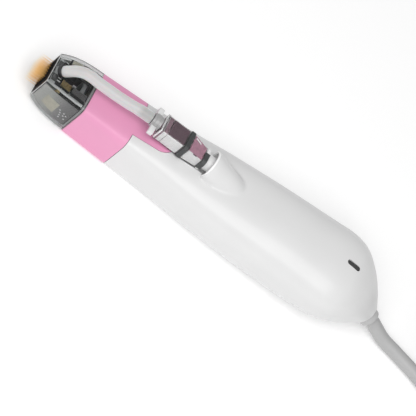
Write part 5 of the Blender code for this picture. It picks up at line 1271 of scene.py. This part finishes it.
# %% [markdown]
# ## Cord
#
# The cord leaves the collar, curves down to the floor and is laid behind the device in a long hank, as such a cord is
# packed: four loops in three layers, drawn in at the waist by a strap. A rope simulation would never lie so neatly,
# so a formula gives each place on the hank by the number of loops made so far.

# %% A place on the hank
CORD_RADIUS = 0.00375
exit_point = gland_seat + gland_axis * (0.0036 + 2 * GAP) + ORIGIN
HANK_BEHIND, HANK_ASIDE, HANK_BASE = 0.1126, 0.0175, 0.001
HANK_RUN, HANK_OUTER, HANK_STEP = 0.084, 0.0311, 0.0086
HANK_RISE, HANK_DRAW, HANK_CLIMB = 0.0081, 0.01, 0.5
RUN_SHARE = 0.25


def hank_place(turn):
    """A place on the hank after that many loops, which go in and out by turns, each time a layer higher."""
    nearest = round(turn)
    since = turn - nearest
    half = HANK_CLIMB / 2
    if nearest == 0:
        spread = since
    elif abs(since) < half:
        spread = (since**2 + half**2) / (2 * half)
    else:
        spread = abs(since)
    depth = 1 - spread if nearest % 2 else spread
    radius = HANK_OUTER - HANK_STEP * depth
    climb = min(max((since + half) / HANK_CLIMB, 0), 1)
    layer = max(nearest - 1 + climb * climb * (3 - 2 * climb), 0)
    phase = (turn + 0.5) % 1 - 0.5
    if RUN_SHARE / 2 < abs(phase) < 0.5 - RUN_SHARE / 2:
        angle = math.pi * ((abs(phase) - RUN_SHARE / 2) / (0.5 - RUN_SHARE) - 0.5)
        reach = math.copysign(HANK_RUN / 2 + radius * math.cos(angle), phase)
        aside = radius * math.sin(angle)
    else:
        near = abs(phase) <= RUN_SHARE / 2
        reach = HANK_RUN / RUN_SHARE * (phase if near else math.copysign(0.5, phase) - phase)
        waist = HANK_DRAW * math.cos(math.pi * reach / HANK_RUN) ** 2
        aside = (waist - radius) if near else (radius - waist)
    x = exit_point[0] + HANK_BEHIND + reach
    return np.array((x, HANK_ASIDE + aside, HANK_BASE + CORD_RADIUS + HANK_RISE * layer))


print("the cord leaves at", exit_point.round(4))

# %% [markdown]
# One long line then runs from the collar through the hank to the plug: a lead that starts straight out of the collar,
# the loops, and a short tail that rises a little to the plug.

# %% The cord's line
START_TURN, END_TURN, STRAIGHT = -0.125, 3.96, 0.0075
HANK_POINTS, LAST_STEP = 393, (END_TURN - START_TURN) / 98
TAIL_LENGTH, TAIL_STEPS, TAIL_TURN, TAIL_SLOPE = 0.018, 5, 0.12, 0.15
# How far behind the exit, aside, and height.
LEAD_ROUTE = (
    (0.0128, -0.0019, 0.0047), (0.0222, -0.0036, 0.0040), (0.0365, -0.0071, 0.0041),
    (0.0450, -0.0101, 0.0044), (0.0530, -0.0133, 0.0047),
)
hank = [hank_place(turn) for turn in np.linspace(START_TURN, END_TURN, HANK_POINTS)]
hank_start = hank[0] - np.array((STRAIGHT, 0, 0))
last_way = hank[-1] - hank_place(END_TURN - LAST_STEP)
last_way /= np.linalg.norm(last_way)
hank_end = hank[-1] + last_way * STRAIGHT

route = [exit_point + gland_axis * CORD_RADIUS]
route += [np.array((exit_point[0] + back, aside, height)) for back, aside, height in LEAD_ROUTE]
route += [hank_start - np.array((CORD_RADIUS + GAP, 0, 0))]
lead = [exit_point, *curve_through(route, 60)]

heading, slope = math.atan2(last_way[1], last_way[0]), math.asin(last_way[2])
tail = [hank_end + last_way * CORD_RADIUS]
for k in range(1, TAIL_STEPS + 1):
    way, rise = heading + TAIL_TURN * k / TAIL_STEPS, slope + (TAIL_SLOPE - slope) * k / TAIL_STEPS
    tail_axis = np.array((math.cos(rise) * math.cos(way), math.cos(rise) * math.sin(way), math.sin(rise)))
    tail.append(tail[-1] + tail_axis * (TAIL_LENGTH - CORD_RADIUS) / TAIL_STEPS)
tail = [*curve_through(tail, 24), tail[-1] + tail_axis * CORD_RADIUS]

cord_line = np.array([*lead, hank_start, *hank, hank_end, *tail])

# %% [markdown]
# The jacket is a bevelled curve along that line, which stays a curve, so that its length can be measured.

# %% Cord
CORD = finish("pale_grey_jacket", 0.44, drift=0.03, roughness=0.45, uneven=0.05, grain=0.08)
bpy.ops.object.select_all(action="DESELECT")
bpy.ops.curve.primitive_nurbs_path_add()
cord = named("power_cord")
cord.data.splines.clear()
line = cord.data.splines.new("POLY")
line.points.add(len(cord_line) - 1)
line.points.foreach_set("co", np.column_stack([cord_line, np.ones(len(cord_line))]).ravel())
line.use_smooth = True
cord.location = (0, 0, 0)
cord.data.bevel_depth = CORD_RADIUS
cord.data.bevel_resolution = 6
cord.data.use_fill_caps = True
cord.data.materials.append(CORD)
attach(cord, "handle")
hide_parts("cord_lead", "cord_hank", "cord_tail")
print("cord of", len(cord_line), "points")

# %% [markdown]
# ## Finishes of the solid pieces
#
# The pieces inside and the plain machined ones keep their solid shape, which is already right, and only get their
# finish. The cartridge's dark base shows through the cap as a row of ribs, so its black is banded along Y.

# %% Banded base
BASE_BANDS = (
    (0.0, 0.02), (0.14, 0.02), (0.15, 0.16), (0.19, 0.16), (0.2, 0.008), (0.27, 0.008), (0.28, (0.07, 0.07, 0.065)),
    (0.4, (0.06, 0.062, 0.05)), (0.41, 0.02), (0.6, 0.02), (0.61, 0.06), (0.72, 0.05), (0.73, 0.008), (0.8, 0.01),
    (0.81, 0.15), (0.84, 0.15), (0.86, 0.05), (1.0, 0.04),
)
STRIPES = finish(
    "black_ribbed_base", 1.0, drift=0.12, drift_size=0.002, roughness=0.35, grain=0.08,
    graded=("Y", -0.0125, 0.0125, BASE_BANDS),
)

# %% Finishes by name
STEEL = finish("machined_steel", 0.6, drift=0.06, uneven=0.1, metallic=1.0, grain=0.06)
GOLD = finish("gold_plate", (0.85, 0.47, 0.13), drift=0.1, drift_size=0.003, roughness=0.25, metallic=0.8, grain=0.05)
BOARD = finish("green_lacquer", (0.02, 0.14, 0.06), drift=0.2, drift_size=0.004)
LENS_GREY = finish("slot_grey", 0.045, drift=0.1, roughness=0.4, grain=0.05)
MEMBRANE = finish("filter_paper", (0.7, 0.68, 0.66), drift=0.06, drift_size=0.001, roughness=0.9, grain=0.4)
NODE_FINISHES = {
    WHITE: ("belly_cover", "nozzle_seal"),
    STRIPES: ("cartridge_base",),
    STEEL: ("cover_screw_1", "cover_screw_2", "cover_screw_3", "cover_screw_4", "guide_rod_left", "guide_rod_right"),
    BLACK: ("needle_guide", "needle_carrier", "nose_bulkhead", "contact_block", "drive_motor"),
    GREY: ("cartridge_frame", "port_nipple", "chassis", "port_elbow", "push_rod", "drive_nut"),
    CLEAR: ("light_pipe", "vacuum_tube"),
    FROSTED: ("filter_nozzle",),
    BAND: ("cord_tie",),
    MEMBRANE: ("filter_membrane",),
    LENS_GREY: ("status_lens",),
    BOARD: ("control_board",),
    CORD: ("plug_boot",),
}
for material, names in NODE_FINISHES.items():
    for name in names:
        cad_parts[name].material_slots[0].material = material
given = {name for names in NODE_FINISHES.values() for name in names}
print("finishes given by name:", len(given))

# %% [markdown]
# What is left gets its finish by the words in its name: pins and pads are gold, screws and metal shells are steel,
# and the rest is black.

# %% Finishes by kind
GOLD_WORDS, STEEL_WORDS = ("pin", "pad", "insert"), ("screw", "shell")
for name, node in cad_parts.items():
    if name in given or node.hide_render:
        continue
    gold, steel = (any(word in name for word in words) for words in (GOLD_WORDS, STEEL_WORDS))
    node.material_slots[0].material = GOLD if gold else STEEL if steel else BLACK
    print("by kind:", name, node.material_slots[0].material.name)

# %% Sizes
low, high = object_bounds()
print("visual box in mm", [round(v * 1000, 1) for v in (*low, *high)])
